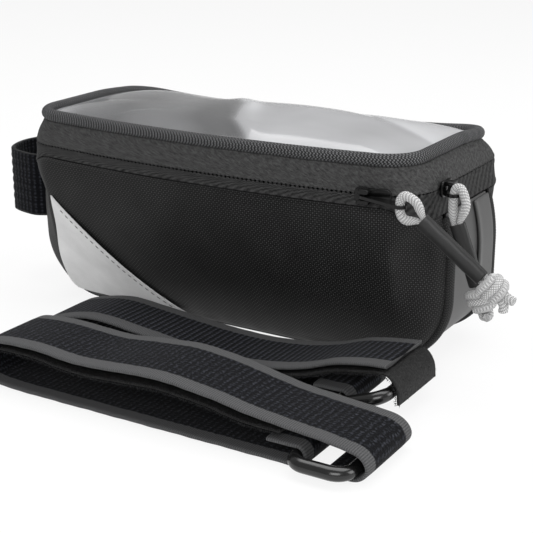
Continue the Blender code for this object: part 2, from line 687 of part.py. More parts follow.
def make_pull(side, pin, route):
    """Cord, sleeve and knot of one pull. The route gives its places from the slider's pin."""
    mouth, end = pin + Vector(route["mouth"]), pin + Vector(route["end"])
    frame = sleeve_frame(mouth, end, route["across"])
    length = (end - mouth).length
    hole = (SLEEVE_WIDTH - 2 * SLEEVE_WALL, SLEEVE_DEPTH - 2 * SLEEVE_WALL)
    plate(f"pull_sleeve_{side}", [ellipse(SLEEVE_WIDTH, SLEEVE_DEPTH), ellipse(*hole)], length, SLEEVE,
          frame @ Matrix.Translation((0, 0, length / 2)))
    knot_length = 2 * KNOT_TURN_RADIUS * KNOT_TURNS
    knot_start = length + 2 * GAP
    make_knot(f"pull_knot_{side}", frame @ Matrix.Translation((0, 0, knot_start)))
    spread = CORD_RADIUS + GAP / 2
    past = knot_start + knot_length + CORD_RADIUS
    depths = (past, knot_start, length * 0.5, 0.003, -0.0006)
    leg_a = [frame @ Vector((spread, 0, z)) for z in depths]
    leg_b = [frame @ Vector((-spread, 0, z)) for z in reversed(depths)]
    loop = [pin + Vector(p) for p in route["loop"]]
    points = [pin + Vector(route["tail_a"]), *leg_a, *loop, *leg_b, pin + Vector(route["tail_b"])]
    tube(f"pull_cord_{side}", smooth_path([tuple(p) for p in points], 57), CORD_RADIUS, CORD)


def make_knot(name, frame):
    """A wrapped knot: turns of cord round the two legs, as one turned solid."""
    work = bmesh.new()
    profile = []
    middle = KNOT_HOLE_RADIUS + KNOT_TURN_RADIUS
    profile.append((KNOT_HOLE_RADIUS, 0, 0))
    profile.append((middle, 0, 0))
    for turn in range(KNOT_TURNS):
        centre_z = KNOT_TURN_RADIUS * (2 * turn + 1)
        for angle in np.linspace(-76, 76, 4):
            lean = math.radians(angle)
            profile.append((middle + KNOT_TURN_RADIUS * math.cos(lean), 0,
                            centre_z + KNOT_TURN_RADIUS * math.sin(lean)))
    profile.append((middle, 0, 2 * KNOT_TURN_RADIUS * KNOT_TURNS))
    profile.append((KNOT_HOLE_RADIUS, 0, 2 * KNOT_TURN_RADIUS * KNOT_TURNS))
    verts = [work.verts.new(p) for p in profile]
    edges = [work.edges.new(pair) for pair in zip(verts, verts[1:] + verts[:1])]
    bmesh.ops.spin(work, geom=verts + edges, cent=(0, 0, 0), axis=(0, 0, 1), angle=2 * math.pi,
                   steps=16, use_merge=True)
    bmesh.ops.remove_doubles(work, verts=work.verts, dist=0.00001)
    bmesh.ops.recalc_face_normals(work, faces=work.faces)
    mesh = bpy.data.meshes.new(name)
    work.to_mesh(mesh)
    work.free()
    mesh.transform(frame)
    return add(name, mesh, CORD)


# Places on the two pulls, from the pin of each slider
FRONT_ROUTE = {
    "eye": (0.0178, -0.0046, 0.0),
    "mouth": (0.0267, -0.0041, -0.0044),
    "end": (0.0503, 0.0, -0.0244),
    "across": (0.6, 0.0, 0.75),
    "loop": [(0.0245, -0.0047, 0.0023), (0.0201, -0.0049, 0.0044), (0.0180, -0.0047, 0.0023),
             (0.0178, -0.0046, 0.0), (0.0180, -0.0047, -0.0027), (0.0203, -0.0048, -0.0050)],
    "tail_a": (0.0633, 0.0019, -0.0322),
    "tail_b": (0.0588, 0.0014, -0.0372),
}
REAR_ROUTE = {
    "eye": (0.0044, -0.0085, 0.0),
    "mouth": (0.0069, -0.0095, -0.0112),
    "end": (0.0164, -0.0095, -0.0352),
    "across": (0.9, 0.0, 0.4),
    "loop": [(0.0099, -0.0093, -0.0034), (0.0079, -0.0089, 0.0023), (0.0055, -0.0086, 0.0028),
             (0.0044, -0.0085, 0.0), (0.0042, -0.0087, -0.0027), (0.0046, -0.0091, -0.0067)],
    "tail_a": (0.0224, -0.0105, -0.0497),
    "tail_b": (0.0169, -0.0105, -0.0512),
}


def make_sliders_and_pulls():
    sweep = math.asin(FRONT_SLIDER_X / SIDE_RADIUS)
    front = slider_frame((FRONT_SLIDER_X, SIDE_CENTRE - SIDE_RADIUS * math.cos(sweep)),
                         (math.cos(sweep), math.sin(sweep)))
    rear = slider_frame((HALF_LENGTH, REAR_SLIDER_Y), (0, 1))
    make_slider("zip_slider_front", front)
    make_slider("zip_slider_rear", rear)
    front_pin, rear_pin = pin_place(front), pin_place(rear)
    make_tab("pull_tab_front", front_pin, front_pin + Vector(FRONT_ROUTE["eye"]))
    make_tab("pull_tab_rear", rear_pin, rear_pin + Vector(REAR_ROUTE["eye"]))
    make_pull("front", front_pin, FRONT_ROUTE)
    make_pull("rear", rear_pin, REAR_ROUTE)
    put_on_axes(rear, front_pin, rear_pin)


def put_on_axes(rear, front_pin, rear_pin):
    """Each moving group under an empty on its own axis."""
    front_travel = hold("front_slider_axis", (0, SIDE_CENTRE, ZIP_HEIGHT), ["zip_slider_front"])
    rear_travel = hold("rear_slider_axis", rear.translation, ["zip_slider_rear"])
    pieces = ("tab", "cord", "sleeve", "knot")
    hold("front_pull_axis", front_pin, [f"pull_{piece}_front" for piece in pieces], front_travel)
    hold("rear_pull_axis", rear_pin, [f"pull_{piece}_rear" for piece in pieces], rear_travel)


def hold(name, place, pieces, carrier=None):
    """An empty on a joint's axis, parent of the pieces that move about it."""
    axis = bpy.data.objects.new(name, None)
    axis.location = place
    bag.objects.link(axis)
    for piece in pieces:
        bpy.data.objects[piece].parent = axis
        bpy.data.objects[piece].matrix_parent_inverse = Matrix.Translation(place).inverted()
    if carrier:
        axis.parent = carrier
        axis.matrix_parent_inverse = Matrix.Translation(carrier.location).inverted()
    return axis


def ribbon(name, path, width, middle_y, thickness, material):
    """A strap lying on its flat: a side-view path in x and z, carried across its width."""
    grid = np.array([[(x, middle_y + side * width / 2, z) for x, z in path] for side in (-1, 1)])
    strip = surface(name, grid, material, thickness)
    strip.modifiers["wall"].offset = 0.0
    return strip


def make_stem_strap():
    """A band on edge that leaves the stem end and returns to it as an open loop."""
    root_x = -(float(end_x(BULGE_HEIGHT)) + GAP + STEM_STRAP_THICKNESS / 2)
    half = STEM_LOOP_HALF_WIDTH
    tip = root_x - STEM_LOOP_REACH
    points = [(root_x, -0.008), (root_x - 0.0004, -0.0155), (root_x - 0.0050, -half + 0.0015),
              (root_x - 0.0120, -half), (tip + 0.0060, -half * 0.75), (tip, 0.0)]
    points += [(x, -y) for x, y in reversed(points[:-1])]
    loop = smooth_path(points, 41)
    hug = np.clip(1 - (root_x - loop[:, 0]) / 0.010, 0, 1)
    rows = []
    top = LOWER_TAPE_EDGE_END - STEM_STRAP_DROP
    for z in np.linspace(top - STEM_STRAP_WIDTH, top, 5):
        back = float(end_x(BULGE_HEIGHT) - end_x(z))
        rows.append(np.column_stack([loop[:, 0] + hug * back, loop[:, 1], np.full(len(loop), z)]))
    grid = np.array(rows)
    band = surface("stem_strap", grid, STRAP, STEM_STRAP_THICKNESS)
    band.modifiers["wall"].offset = 0.0


def ring_loop(length, span, corner, count=6):
    """A ring's centre line in plan: span along x, length along y, round corners."""
    x, y = span / 2 - corner, length / 2 - corner
    quarter = math.pi / 2
    corners = [((x, -y), -quarter), ((x, y), 0), ((-x, y), quarter), ((-x, -y), 2 * quarter)]
    return np.vstack([arc(c, corner, start, start + quarter, count) for c, start in corners])


def make_ring(name, centre, length, tilt):
    """A plastic ring, two bars across the strap and round ends."""
    flat = ring_loop(length - 2 * RING_BAR_RADIUS, RING_SPAN, RING_CORNER)
    turn = Matrix.Translation(centre) @ Matrix.Rotation(-tilt, 4, "Y")
    points = [tuple(turn @ Vector((x, y, 0))) for x, y in flat]
    return tube(name, points, RING_BAR_RADIUS, PLASTIC, closed=True)


def bar_wrap(bar, radius, count=9):
    """A strap's turn round a ring's bar, from under it round to the top, in x and z."""
    return arc(bar, radius, -math.pi / 2, math.pi / 2, count)


def make_loose_straps():
    wrap = RING_BAR_RADIUS + GAP + STRAP_THICKNESS / 2
    floor = STRAP_THICKNESS / 2 + GAP
    bar_z = floor + wrap
    tail = [(FRONT_RING_X - SEWN_TAIL, bar_z + wrap), (FRONT_RING_X - SEWN_TAIL / 2, bar_z + wrap)]
    turn = bar_wrap((FRONT_RING_X, bar_z), wrap)[::-1].tolist()

    lower = [(0.075, floor), (0.040, floor), (0.005, floor), (-0.025, floor), (-0.043, floor + 0.0004)]
    bend = [(-0.0520, 0.0036), (-0.0565, 0.0095), (-0.0540, 0.0160), (-0.0460, 0.0192)]
    top = [(-0.028, 0.0202), (-0.005, 0.0190), (0.015, 0.0205), (0.033, 0.0215), (0.054, 0.0195),
           (0.075, 0.0160), (0.095, 0.0142), (0.110, 0.0130)]
    fold = [(0.1205, 0.0112), (0.1245, 0.0065), (0.1215, 0.0022), (0.1150, floor), (0.1060, floor)]
    path = smooth_path(tail + turn + lower + bend + top + fold, 92)
    ribbon("strap_front_band", path, STRAP_WIDTH, FRONT_STRAP_Y, STRAP_THICKNESS, STRAP)
    under = STRAP_THICKNESS / 2 + HOOK_TAPE_THICKNESS / 2 + HOOK_TAPE_DROP
    hook = [(x, z - under) for x, z in [(-0.044, 0.0192)] + top[:5] + [(0.072, 0.0165)]]
    ribbon("strap_front_hook_tape", smooth_path(hook, 40), HOOK_TAPE_WIDTH, FRONT_STRAP_Y,
           HOOK_TAPE_THICKNESS, HOOK)
    half = RING_SPAN / 2
    make_ring("strap_front_ring", (FRONT_RING_X + half, FRONT_STRAP_Y, bar_z), RING_LENGTH, 0.0)

    tail = [(REAR_RING_X - SEWN_TAIL, bar_z + wrap), (REAR_RING_X - SEWN_TAIL / 2, bar_z + wrap)]
    turn = bar_wrap((REAR_RING_X, bar_z), wrap)[::-1].tolist()
    lower = [(0.070, floor), (0.035, floor), (0.0, floor), (-0.035, floor), (-0.060, floor)]
    bend = [(-0.0705, 0.0020), (-0.0745, 0.0050), (-0.0715, 0.0086)]
    top = [(-0.059, 0.0124), (-0.041, 0.0150), (-0.014, 0.0142), (0.011, 0.0126), (0.032, 0.0122),
           (0.052, 0.0134), (0.068, 0.0160), (0.082, 0.0190), (0.095, 0.0212), (0.1075, 0.0225)]
    path = smooth_path(tail + turn + lower + bend + top, 84)
    ribbon("strap_rear_band", path, REAR_STRAP_WIDTH, REAR_STRAP_Y, STRAP_THICKNESS, STRAP)
    hook = [(x, z - under) for x, z in top[2:]] + [(0.1126, 0.0150), (0.1138, 0.0090)]
    ribbon("strap_rear_hook_tape", smooth_path(hook, 40), HOOK_TAPE_WIDTH, REAR_STRAP_Y,
           HOOK_TAPE_THICKNESS, HOOK)
    centre = (REAR_RING_X + half * math.cos(REAR_RING_TILT), REAR_STRAP_Y,
              bar_z + half * math.sin(REAR_RING_TILT))
    make_ring("strap_rear_ring", centre, REAR_RING_LENGTH, REAR_RING_TILT)


LEVELS = level_heights()
make_side_panels(LEVELS)
make_gusset(LEVELS)
make_piping(LEVELS)
make_end_tab()
make_patches()
make_tapes()
make_coils()
make_lid()
make_hinge_strip()
hold("lid_hinge_axis", (-HALF_LENGTH - GAP, 0, ZIP_HEIGHT),
     ["zip_tape_upper", "zip_coil_upper", "lid_rim", "lid_window", "phone_pocket_panel", "pocket_closure"])
make_lining(LEVELS)
make_base()
make_sliders_and_pulls()
make_stem_strap()
make_loose_straps()
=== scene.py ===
import math

import bmesh
import bpy
import numpy as np
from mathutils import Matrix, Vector


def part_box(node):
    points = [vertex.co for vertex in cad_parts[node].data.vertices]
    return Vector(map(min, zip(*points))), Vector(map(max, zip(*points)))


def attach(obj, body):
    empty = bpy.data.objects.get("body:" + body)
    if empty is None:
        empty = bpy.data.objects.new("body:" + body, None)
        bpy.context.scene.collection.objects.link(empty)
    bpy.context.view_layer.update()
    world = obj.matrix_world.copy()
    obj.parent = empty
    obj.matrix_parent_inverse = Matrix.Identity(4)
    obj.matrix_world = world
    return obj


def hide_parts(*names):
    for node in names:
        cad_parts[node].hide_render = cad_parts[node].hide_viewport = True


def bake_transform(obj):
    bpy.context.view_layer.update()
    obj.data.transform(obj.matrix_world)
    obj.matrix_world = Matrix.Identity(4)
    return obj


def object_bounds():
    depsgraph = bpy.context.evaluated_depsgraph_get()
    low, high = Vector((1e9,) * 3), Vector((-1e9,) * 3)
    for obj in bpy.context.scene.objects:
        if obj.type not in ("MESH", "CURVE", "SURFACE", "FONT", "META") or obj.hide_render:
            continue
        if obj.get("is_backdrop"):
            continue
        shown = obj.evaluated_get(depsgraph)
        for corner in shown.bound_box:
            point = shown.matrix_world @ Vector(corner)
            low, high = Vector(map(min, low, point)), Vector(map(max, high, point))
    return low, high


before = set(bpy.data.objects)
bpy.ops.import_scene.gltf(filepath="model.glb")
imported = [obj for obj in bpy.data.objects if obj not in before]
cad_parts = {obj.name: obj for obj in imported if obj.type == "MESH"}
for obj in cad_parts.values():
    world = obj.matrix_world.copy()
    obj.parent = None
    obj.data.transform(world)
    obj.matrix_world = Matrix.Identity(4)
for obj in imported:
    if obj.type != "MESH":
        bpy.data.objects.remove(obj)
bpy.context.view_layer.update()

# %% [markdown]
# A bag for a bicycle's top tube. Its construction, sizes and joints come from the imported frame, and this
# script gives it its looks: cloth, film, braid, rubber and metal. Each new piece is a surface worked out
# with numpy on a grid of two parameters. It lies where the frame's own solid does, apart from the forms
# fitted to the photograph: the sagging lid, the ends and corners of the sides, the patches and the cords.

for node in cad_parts.values():
    node.data.materials.clear()

# %% [markdown]
# The camera comes first. Its direction,
# distance and lens were found by matching the bag's outline. The lens is written in pixels of a square
# picture, 533 wide, and turned into millimetres on Blender's 36 mm sensor.

# %% Camera
PICTURE_PIXELS = 533
FOCAL_PIXELS = 1300
CAMERA_AZIMUTH = math.radians(31.01)
CAMERA_PITCH = math.radians(18.44)
CAMERA_DISTANCE = 0.600
CAMERA_TARGET = Vector((0.00368, 0.0, 0.0231))


def make_camera():
    """A camera on a sphere round its target, looking at it."""
    data = bpy.data.cameras.new("photo_camera")
    data.sensor_width = 36.0
    data.lens = FOCAL_PIXELS * data.sensor_width / PICTURE_PIXELS
    data.clip_start = 0.01
    eye = Vector((math.sin(CAMERA_AZIMUTH) * math.cos(CAMERA_PITCH),
                  -math.cos(CAMERA_AZIMUTH) * math.cos(CAMERA_PITCH),
                  math.sin(CAMERA_PITCH)))
    camera = bpy.data.objects.new("photo_camera", data)
    camera.location = CAMERA_TARGET + eye * CAMERA_DISTANCE
    camera.rotation_euler = (-eye).to_track_quat("-Z", "Y").to_euler()
    bpy.context.scene.collection.objects.link(camera)
    bpy.context.scene.camera = camera
    return camera


camera = make_camera()
print("camera at", [round(v, 4) for v in camera.location], "lens", round(camera.data.lens, 2))

# %% [markdown]
# Every piece starts as a grid of points. One function turns a grid into a mesh, closes it in either
# direction if asked, and gives it a UV map in metres, measured along the cloth from the grid's middle.
# A weave drawn in that map has its real scale wherever the cloth goes.


# %% Grids into meshes
def run_lengths(points, axis):
    """Distance travelled along one direction of a grid, counted from its middle line."""
    steps = np.linalg.norm(np.diff(points, axis=axis), axis=2)
    pad = [(0, 0), (0, 0)]
    pad[axis] = (1, 0)
    total = np.cumsum(np.pad(steps, pad), axis=axis)
    middle = total.shape[axis] // 2
    return total - np.take(total, [middle], axis=axis)


def add_mesh(name, points, faces):
    """A new object of these points and faces, linked to the scene."""
    mesh = bpy.data.meshes.new(name)
    mesh.from_pydata(points.reshape(-1, 3).tolist(), [], faces)
    piece = bpy.data.objects.new(name, mesh)
    bpy.context.scene.collection.objects.link(piece)
    return piece


def grid_mesh(name, points, close_rows=False, close_columns=False, uv=None, values=None):
    """A smooth mesh through a grid of points. Its faces look along columns cross rows."""
    rows, columns = points.shape[:2]
    row_count = rows if close_rows else rows - 1
    column_count = columns if close_columns else columns - 1
    r = np.arange(row_count)[:, None]
    c = np.arange(column_count)[None, :]
    up, over = (r + 1) % rows, (c + 1) % columns
    faces = np.stack([r * columns + c, r * columns + over, up * columns + over, up * columns + c], -1)
    wrapped = np.concatenate([points, points[:1]], 0) if close_rows else points
    wrapped = np.concatenate([wrapped, wrapped[:, :1]], 1) if close_columns else wrapped
    u, v = uv if uv is not None else (run_lengths(wrapped, 1), run_lengths(wrapped, 0))
    piece = add_mesh(name, points, faces.reshape(-1, 4).tolist())
    mesh = piece.data
    corners = [(r, c), (r, c + 1), (r + 1, c + 1), (r + 1, c)]
    laid = np.stack([np.stack([u[a, b], v[a, b]], -1) for a, b in corners], 2)
    layer = mesh.uv_layers.new(name="cloth")
    layer.data.foreach_set("uv", laid.reshape(-1).astype(np.float32))
    for label, amount in (values or {}).items():
        attribute = mesh.attributes.new(label, "FLOAT", "POINT")
        attribute.data.foreach_set("value", np.asarray(amount, np.float32).reshape(-1))
    mesh.shade_smooth()
    return piece


def weld(piece, distance=0.000004):
    """Join points that coincide, at poles and seams."""
    work = bmesh.new()
    work.from_mesh(piece.data)
    bmesh.ops.remove_doubles(work, verts=work.verts, dist=distance)
    work.to_mesh(piece.data)
    work.free()
    return piece


def thicken(piece, thickness, offset=-1.0):
    """Give a sheet its wall."""
    wall = piece.modifiers.new("wall", "SOLIDIFY")
    wall.thickness = thickness
    wall.offset = offset
    wall.use_even_offset = True
    return piece


def unit(vectors):
    return vectors / np.maximum(np.linalg.norm(vectors, axis=-1, keepdims=True), 1e-12)


def normals_of(points, close_columns=False):
    """The unit normals of a grid, from the cross product of its two directions."""
    if close_columns:
        along = np.roll(points, -1, 1) - np.roll(points, 1, 1)
    else:
        along = np.gradient(points, axis=1)
    return unit(np.cross(along, np.gradient(points, axis=0)))


def dress(piece, body, slot, material, *nodes):
    """Ride on a body, take a finish, and stand for the frame's own solids. The slot is not used."""
    piece.data.materials.append(material)
    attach(piece, body)
    if nodes:
        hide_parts(*nodes)
    return piece


# %% [markdown]
# A cord, a rim, a piping and a strap are all one profile carried along a path. At each point of the path
# the profile stands square to it, turned by a fixed reference direction, so nothing twists.


# %% Profiles along paths
def sweep(path, profile, reference, closed=False):
    """Points of a profile carried along a path: path + side * x + rise * y for each profile point."""
    path = np.asarray(path, float)
    if closed:
        along = np.roll(path, -1, 0) - np.roll(path, 1, 0)
    else:
        along = np.gradient(path, axis=0)
    along = unit(along)
    side = unit(np.cross(np.asarray(reference, float), along))
    rise = np.cross(along, side)
    profile = np.broadcast_to(profile, (len(path), *profile.shape[-2:]))
    return path[:, None] + side[:, None] * profile[..., :1] + rise[:, None] * profile[..., 1:]


def full_turn(count):
    """Even angles round a circle."""
    return np.linspace(0, 2 * math.pi, count, endpoint=False)


def circle_profile(radius, sides):
    angle = full_turn(sides)
    return np.stack([radius * np.cos(angle), radius * np.sin(angle)], -1)


def strand_lattice(run, sides, strands, pitch):
    """Strands that cross over a round cord: the product of two slanted waves."""
    across, along = strands * full_turn(sides)[None], run[:, None] * math.pi / pitch
    return np.sin(across + along) * np.sin(across - along)


def distances(line):
    """How far along a line each of its points lies."""
    return np.concatenate([[0], np.cumsum(np.linalg.norm(np.diff(line, axis=0), axis=1))])


def even_path(points, spacing, closed=False):
    """The same line with points at equal distances."""
    line = np.vstack([points, points[:1]]) if closed else np.asarray(points, float)
    run = distances(line)
    count = max(4, int(round(run[-1] / spacing)))
    where = np.linspace(0, run[-1], count, endpoint=not closed)
    return np.stack([np.interp(where, run, line[:, k]) for k in range(line.shape[1])], -1)


def smooth_path(points, per_span=12):
    """A Catmull-Rom curve through given points."""
    points = np.asarray(points, float)
    ends = np.vstack([2 * points[0] - points[1], points, 2 * points[-1] - points[-2]])
    where = np.linspace(0, len(points) - 1, per_span * (len(points) - 1) + 1)
    first = np.minimum(where.astype(int), len(points) - 2)
    t = (where - first)[:, None]
    p0, p1, p2, p3 = (ends[first + shift] for shift in range(4))
    return 0.5 * (2 * p1 + (p2 - p0) * t + (2 * p0 - 5 * p1 + 4 * p2 - p3) * t ** 2
                  + (3 * p1 - p0 - 3 * p2 + p3) * t ** 3)


def round_ends(radius, path, length):
    """Radii along an open path, closing over the last stretch at each end as a half circle does."""
    run = distances(path)
    near = np.minimum(run, run[-1] - run) / length
    return radius * np.sqrt(np.clip(1 - (1 - np.clip(near, 0, 1)) ** 2, 0, 1))


# %% [markdown]
# Materials are node graphs. A few short helpers keep them readable: one starts a shader, one adds a math
# node, one reads the cloth map, and one turns a height into colour and bump together, so that a thread
# which stands up also catches the light.


# %% Material helpers
def start_finish(name, roughness, metallic=0.0, sheen=0.0, specular=0.5):
    material = bpy.data.materials.new(name)
    material.use_nodes = True
    shader = material.node_tree.nodes["Principled BSDF"]
    shader.inputs["Roughness"].default_value = roughness
    shader.inputs["Metallic"].default_value = metallic
    shader.inputs["Sheen Weight"].default_value = sheen
    shader.inputs["Specular IOR Level"].default_value = specular
    return material, material.node_tree, shader


def calc(tree, operation, *values):
    """One math node. A number is set on it, a socket is linked to it."""
    node = tree.nodes.new("ShaderNodeMath")
    node.operation = operation
    for socket, value in zip(node.inputs, values):
        if isinstance(value, (int, float)):
            socket.default_value = value
        else:
            tree.links.new(value, socket)
    return node.outputs[0]


def mixed(tree, first, first_share, second, second_share):
    """A weighted sum. Each share is a number or a socket."""
    return calc(tree, "ADD", calc(tree, "MULTIPLY", first, first_share),
                calc(tree, "MULTIPLY", second, second_share))


def sine_wave(tree, distance, pitch):
    return calc(tree, "SINE", calc(tree, "MULTIPLY", distance, 2 * math.pi / pitch))


def cloth_map(tree):
    """The two distances along the cloth, in metres, as sockets, and the map itself."""
    source = tree.nodes.new("ShaderNodeUVMap")
    source.uv_map = "cloth"
    split = tree.nodes.new("ShaderNodeSeparateXYZ")
    tree.links.new(source.outputs[0], split.inputs[0])
    return split.outputs[0], split.outputs[1], source.outputs[0]


def object_map(tree):
    source = tree.nodes.new("ShaderNodeTexCoord")
    split = tree.nodes.new("ShaderNodeSeparateXYZ")
    tree.links.new(source.outputs["Object"], split.inputs[0])
    return split.outputs, source.outputs["Object"]


def noise(tree, vector, scale, detail=2.0, roughness=0.5):
    node = tree.nodes.new("ShaderNodeTexNoise")
    node.inputs["Scale"].default_value = scale
    node.inputs["Detail"].default_value = detail
    node.inputs["Roughness"].default_value = roughness
    tree.links.new(vector, node.inputs["Vector"])
    return node.outputs["Fac"]


def ramp(tree, amount, low, high):
    """Amount stretched so that low becomes 0 and high becomes 1."""
    node = tree.nodes.new("ShaderNodeMapRange")
    node.inputs["From Min"].default_value = low
    node.inputs["From Max"].default_value = high
    tree.links.new(amount, node.inputs["Value"])
    return node.outputs[0]


def blend_colour(tree, amount, first, second):
    """A mix of two colours, or of sockets that carry them."""
    node = tree.nodes.new("ShaderNodeMix")
    node.data_type = "RGBA"
    tree.links.new(amount, node.inputs[0])
    for socket, value in ((node.inputs[6], first), (node.inputs[7], second)):
        if isinstance(value, tuple):
            socket.default_value = (*value, 1.0)
        else:
            tree.links.new(value, socket)
    return node.outputs[2]


def colour_and_bump(tree, shader, colour, height, distance, strength=1.0):
    tree.links.new(colour, shader.inputs["Base Color"])
    bump = tree.nodes.new("ShaderNodeBump")
    bump.inputs["Distance"].default_value = distance
    bump.inputs["Strength"].default_value = strength
    tree.links.new(height, bump.inputs["Height"])
    tree.links.new(bump.outputs[0], shader.inputs["Normal"])


def grey(value, blue=0.0):
    """Linear colour of an sRGB grey from 0 to 255, a little bluer if asked."""
    linear = ((value / 255 + 0.055) / 1.055) ** 2.4 if value > 10 else value / 255 / 12.92
    return (linear * (1 - blue * 0.5), linear * (1 - blue * 0.2), linear * (1 + blue))


# %% [markdown]
# The side panels are a ballistic weave. Each thread crown shows as a small lighter dot, a painted highlight,
# and the dots stand in a diagonal lattice, because the thread goes over and under in turn. The product of two
# sine waves has
# just that sign pattern: its positive cells are the crowns, its negative cells the threads below.


# %% Woven cloths
WEAVE_CELL = 0.00093
TWILL_SLANTS = (("ADD", 0.00095, 0.0011), ("SUBTRACT", 0.0010, 0.0009))


def make_ballistic_weave():
    material, tree, shader = start_finish("black_ballistic_weave", 0.62, specular=0.22)
    u, v, where = cloth_map(tree)
    wave_u = sine_wave(tree, u, 2 * WEAVE_CELL)
    wave_v = sine_wave(tree, v, 2 * WEAVE_CELL)
    cell = calc(tree, "MULTIPLY", wave_u, wave_v)
    crown = calc(tree, "POWER", calc(tree, "MAXIMUM", cell, 0.0), 2.2)
    under = calc(tree, "MULTIPLY", calc(tree, "MAXIMUM", calc(tree, "MULTIPLY", cell, -1.0), 0.0), 0.25)
    height = calc(tree, "ADD", crown, under)
    patchy = ramp(tree, noise(tree, where, 60.0, 3.0), 0.3, 0.7)
    strength = calc(tree, "MULTIPLY_ADD", patchy, 0.4, 0.6)
    shown = calc(tree, "MULTIPLY", height, strength)
    # Painted highlight: the crowns are lighter in colour than the threads below.
    colour = blend_colour(tree, shown, grey(4), grey(80))
    colour_and_bump(tree, shader, colour, height, 0.00012, 0.6)
    return material


def make_tape_cloth(name, dark, light, slack=1.0):
    """Fine uneven twill: two slanted waves and a noise. A small slack turns the waves along the zip."""
    material, tree, shader = start_finish(name, 0.8, specular=0.15)
    u, v, where = cloth_map(tree)
    slants = [calc(tree, sign, calc(tree, "MULTIPLY", u, slack * 2 * math.pi / wide),
                   calc(tree, "MULTIPLY", v, 2 * math.pi / high)) for sign, wide, high in TWILL_SLANTS]
    grain = noise(tree, where, 700.0, 3.0, 0.65)
    waves = calc(tree, "MULTIPLY", *(calc(tree, "SINE", slant) for slant in slants))
    height = calc(tree, "ADD", calc(tree, "MULTIPLY_ADD", waves, 0.25, 0.25),
                  calc(tree, "MULTIPLY", grain, 0.9))
    colour = blend_colour(tree, ramp(tree, height, 0.42, 0.98), grey(dark), grey(light))
    colour_and_bump(tree, shader, colour, height, 0.00010, 0.5)
    return material


def make_braid(name, dark, light, along, around, bump=0.00012, tint=0.0, roughness=0.75):
    """Strands that cross in a diamond lattice: the product of two slanted sine waves."""
    material, tree, shader = start_finish(name, roughness, specular=0.3)
    around_u, along_v, where = cloth_map(tree)
    turn = calc(tree, "MULTIPLY", around_u, math.pi / around)
    travel = calc(tree, "MULTIPLY", along_v, math.pi / along)
    first = calc(tree, "SINE", calc(tree, "ADD", turn, travel))
    second = calc(tree, "SINE", calc(tree, "SUBTRACT", turn, travel))
    lattice = calc(tree, "ABSOLUTE", calc(tree, "MULTIPLY", first, second))
    fuzz = noise(tree, where, 1800.0, 2.0)
    height = mixed(tree, lattice, 0.75, fuzz, 0.35)
    colour = blend_colour(tree, ramp(tree, height, 0.28, 0.95), grey(dark, tint), grey(light, tint))
    colour_and_bump(tree, shader, colour, height, bump, 0.8)
    return material


def make_coated(name, value, roughness=0.5):
    """Smooth coated cloth: a fine grain and slow changes of tone."""
    material, tree, shader = start_finish(name, roughness, specular=0.35)
    _, _, where = cloth_map(tree)
    fine = noise(tree, where, 2600.0, 2.0)
    slow = noise(tree, where, 30.0, 2.0)
    tone = mixed(tree, fine, 0.4, slow, 0.6)
    colour = blend_colour(tree, tone, grey(value - 9), grey(value + 9))
    colour_and_bump(tree, shader, colour, fine, 0.00005, 0.3)
    return material


ballistic_weave = make_ballistic_weave()
tape_cloth = make_tape_cloth("charcoal_zip_tape", 14, 86)
lower_tape_cloth = make_tape_cloth("ribbed_lower_tape", 12, 68, 0.10)
rim_braid = make_braid("braided_rim", 4, 112, 0.00150, 0.00147, 0.00025, 0.03)
piping_braid = make_braid("braided_piping", 4, 58, 0.00120, 0.00126, 0.0002)
cord_braid = make_braid("light_grey_cord_braid", 140, 228, 0.00130, 0.00122, 0.0002, roughness=0.8)
gusset_cloth = make_coated("grey_coated_cloth", 76)
lining_cloth = make_coated("grey_lining_cloth", 96, 0.8)
print("cloths made:", len(bpy.data.materials))

# %% [markdown]
# The plan of the bag at its zip is four arcs and two short straight ends. Pieces further in or out are
# true offsets of it, with every radius made larger or smaller. Down the side, the plan is stretched to
# the length and width that the bag has at each height.

# %% The bag's own shape
HALF_LENGTH = 0.099
HALF_WIDTH = 0.053
CORNER_RADIUS = 0.018
SIDE_RADIUS = 0.600
TAPE_FLARE = 0.0015
SIDE_FLARE = 0.0002
END_BULGE = 0.0036
BULGE_HEIGHT = 0.046
END_CORNER_RADIUS = 0.030
BOTTOM_HEIGHT = 0.0020
HALF_GUSSET = 0.022
PANEL_EDGE_Y = 0.0245
CORNER_EASE = 0.0080
GUSSET_EDGE_Y = 0.0201
SIDE_FULLNESS = 1.5
TAPE_EDGE_SIDE = 0.0737
TAPE_EDGE_END = 0.0680
LEVEL_POWER = 1.15
LID_LEAN = 0.0065
LID_DROP = 0.0070
STEM_DRAW, REAR_DRAW = 0.050, 0.036
SIDE_CENTRE = SIDE_RADIUS - HALF_WIDTH
CORNER_X = HALF_LENGTH - CORNER_RADIUS
CORNER_Y = math.sqrt((SIDE_RADIUS - CORNER_RADIUS) ** 2 - CORNER_X ** 2) - SIDE_CENTRE
SIDE_ANGLE = math.atan2(CORNER_X, CORNER_Y + SIDE_CENTRE)
lower_tape_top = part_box("zip_tape_lower")[1].z
upper_tape_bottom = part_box("zip_tape_upper")[0].z
upper_tape_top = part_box("zip_tape_upper")[1].z
zip_height = (lower_tape_top + upper_tape_bottom) / 2


def arc(centre, radius, start, stop, count):
    angle = np.linspace(start, stop, count)
    return np.stack([centre[0] + radius * np.cos(angle), centre[1] + radius * np.sin(angle)], -1)


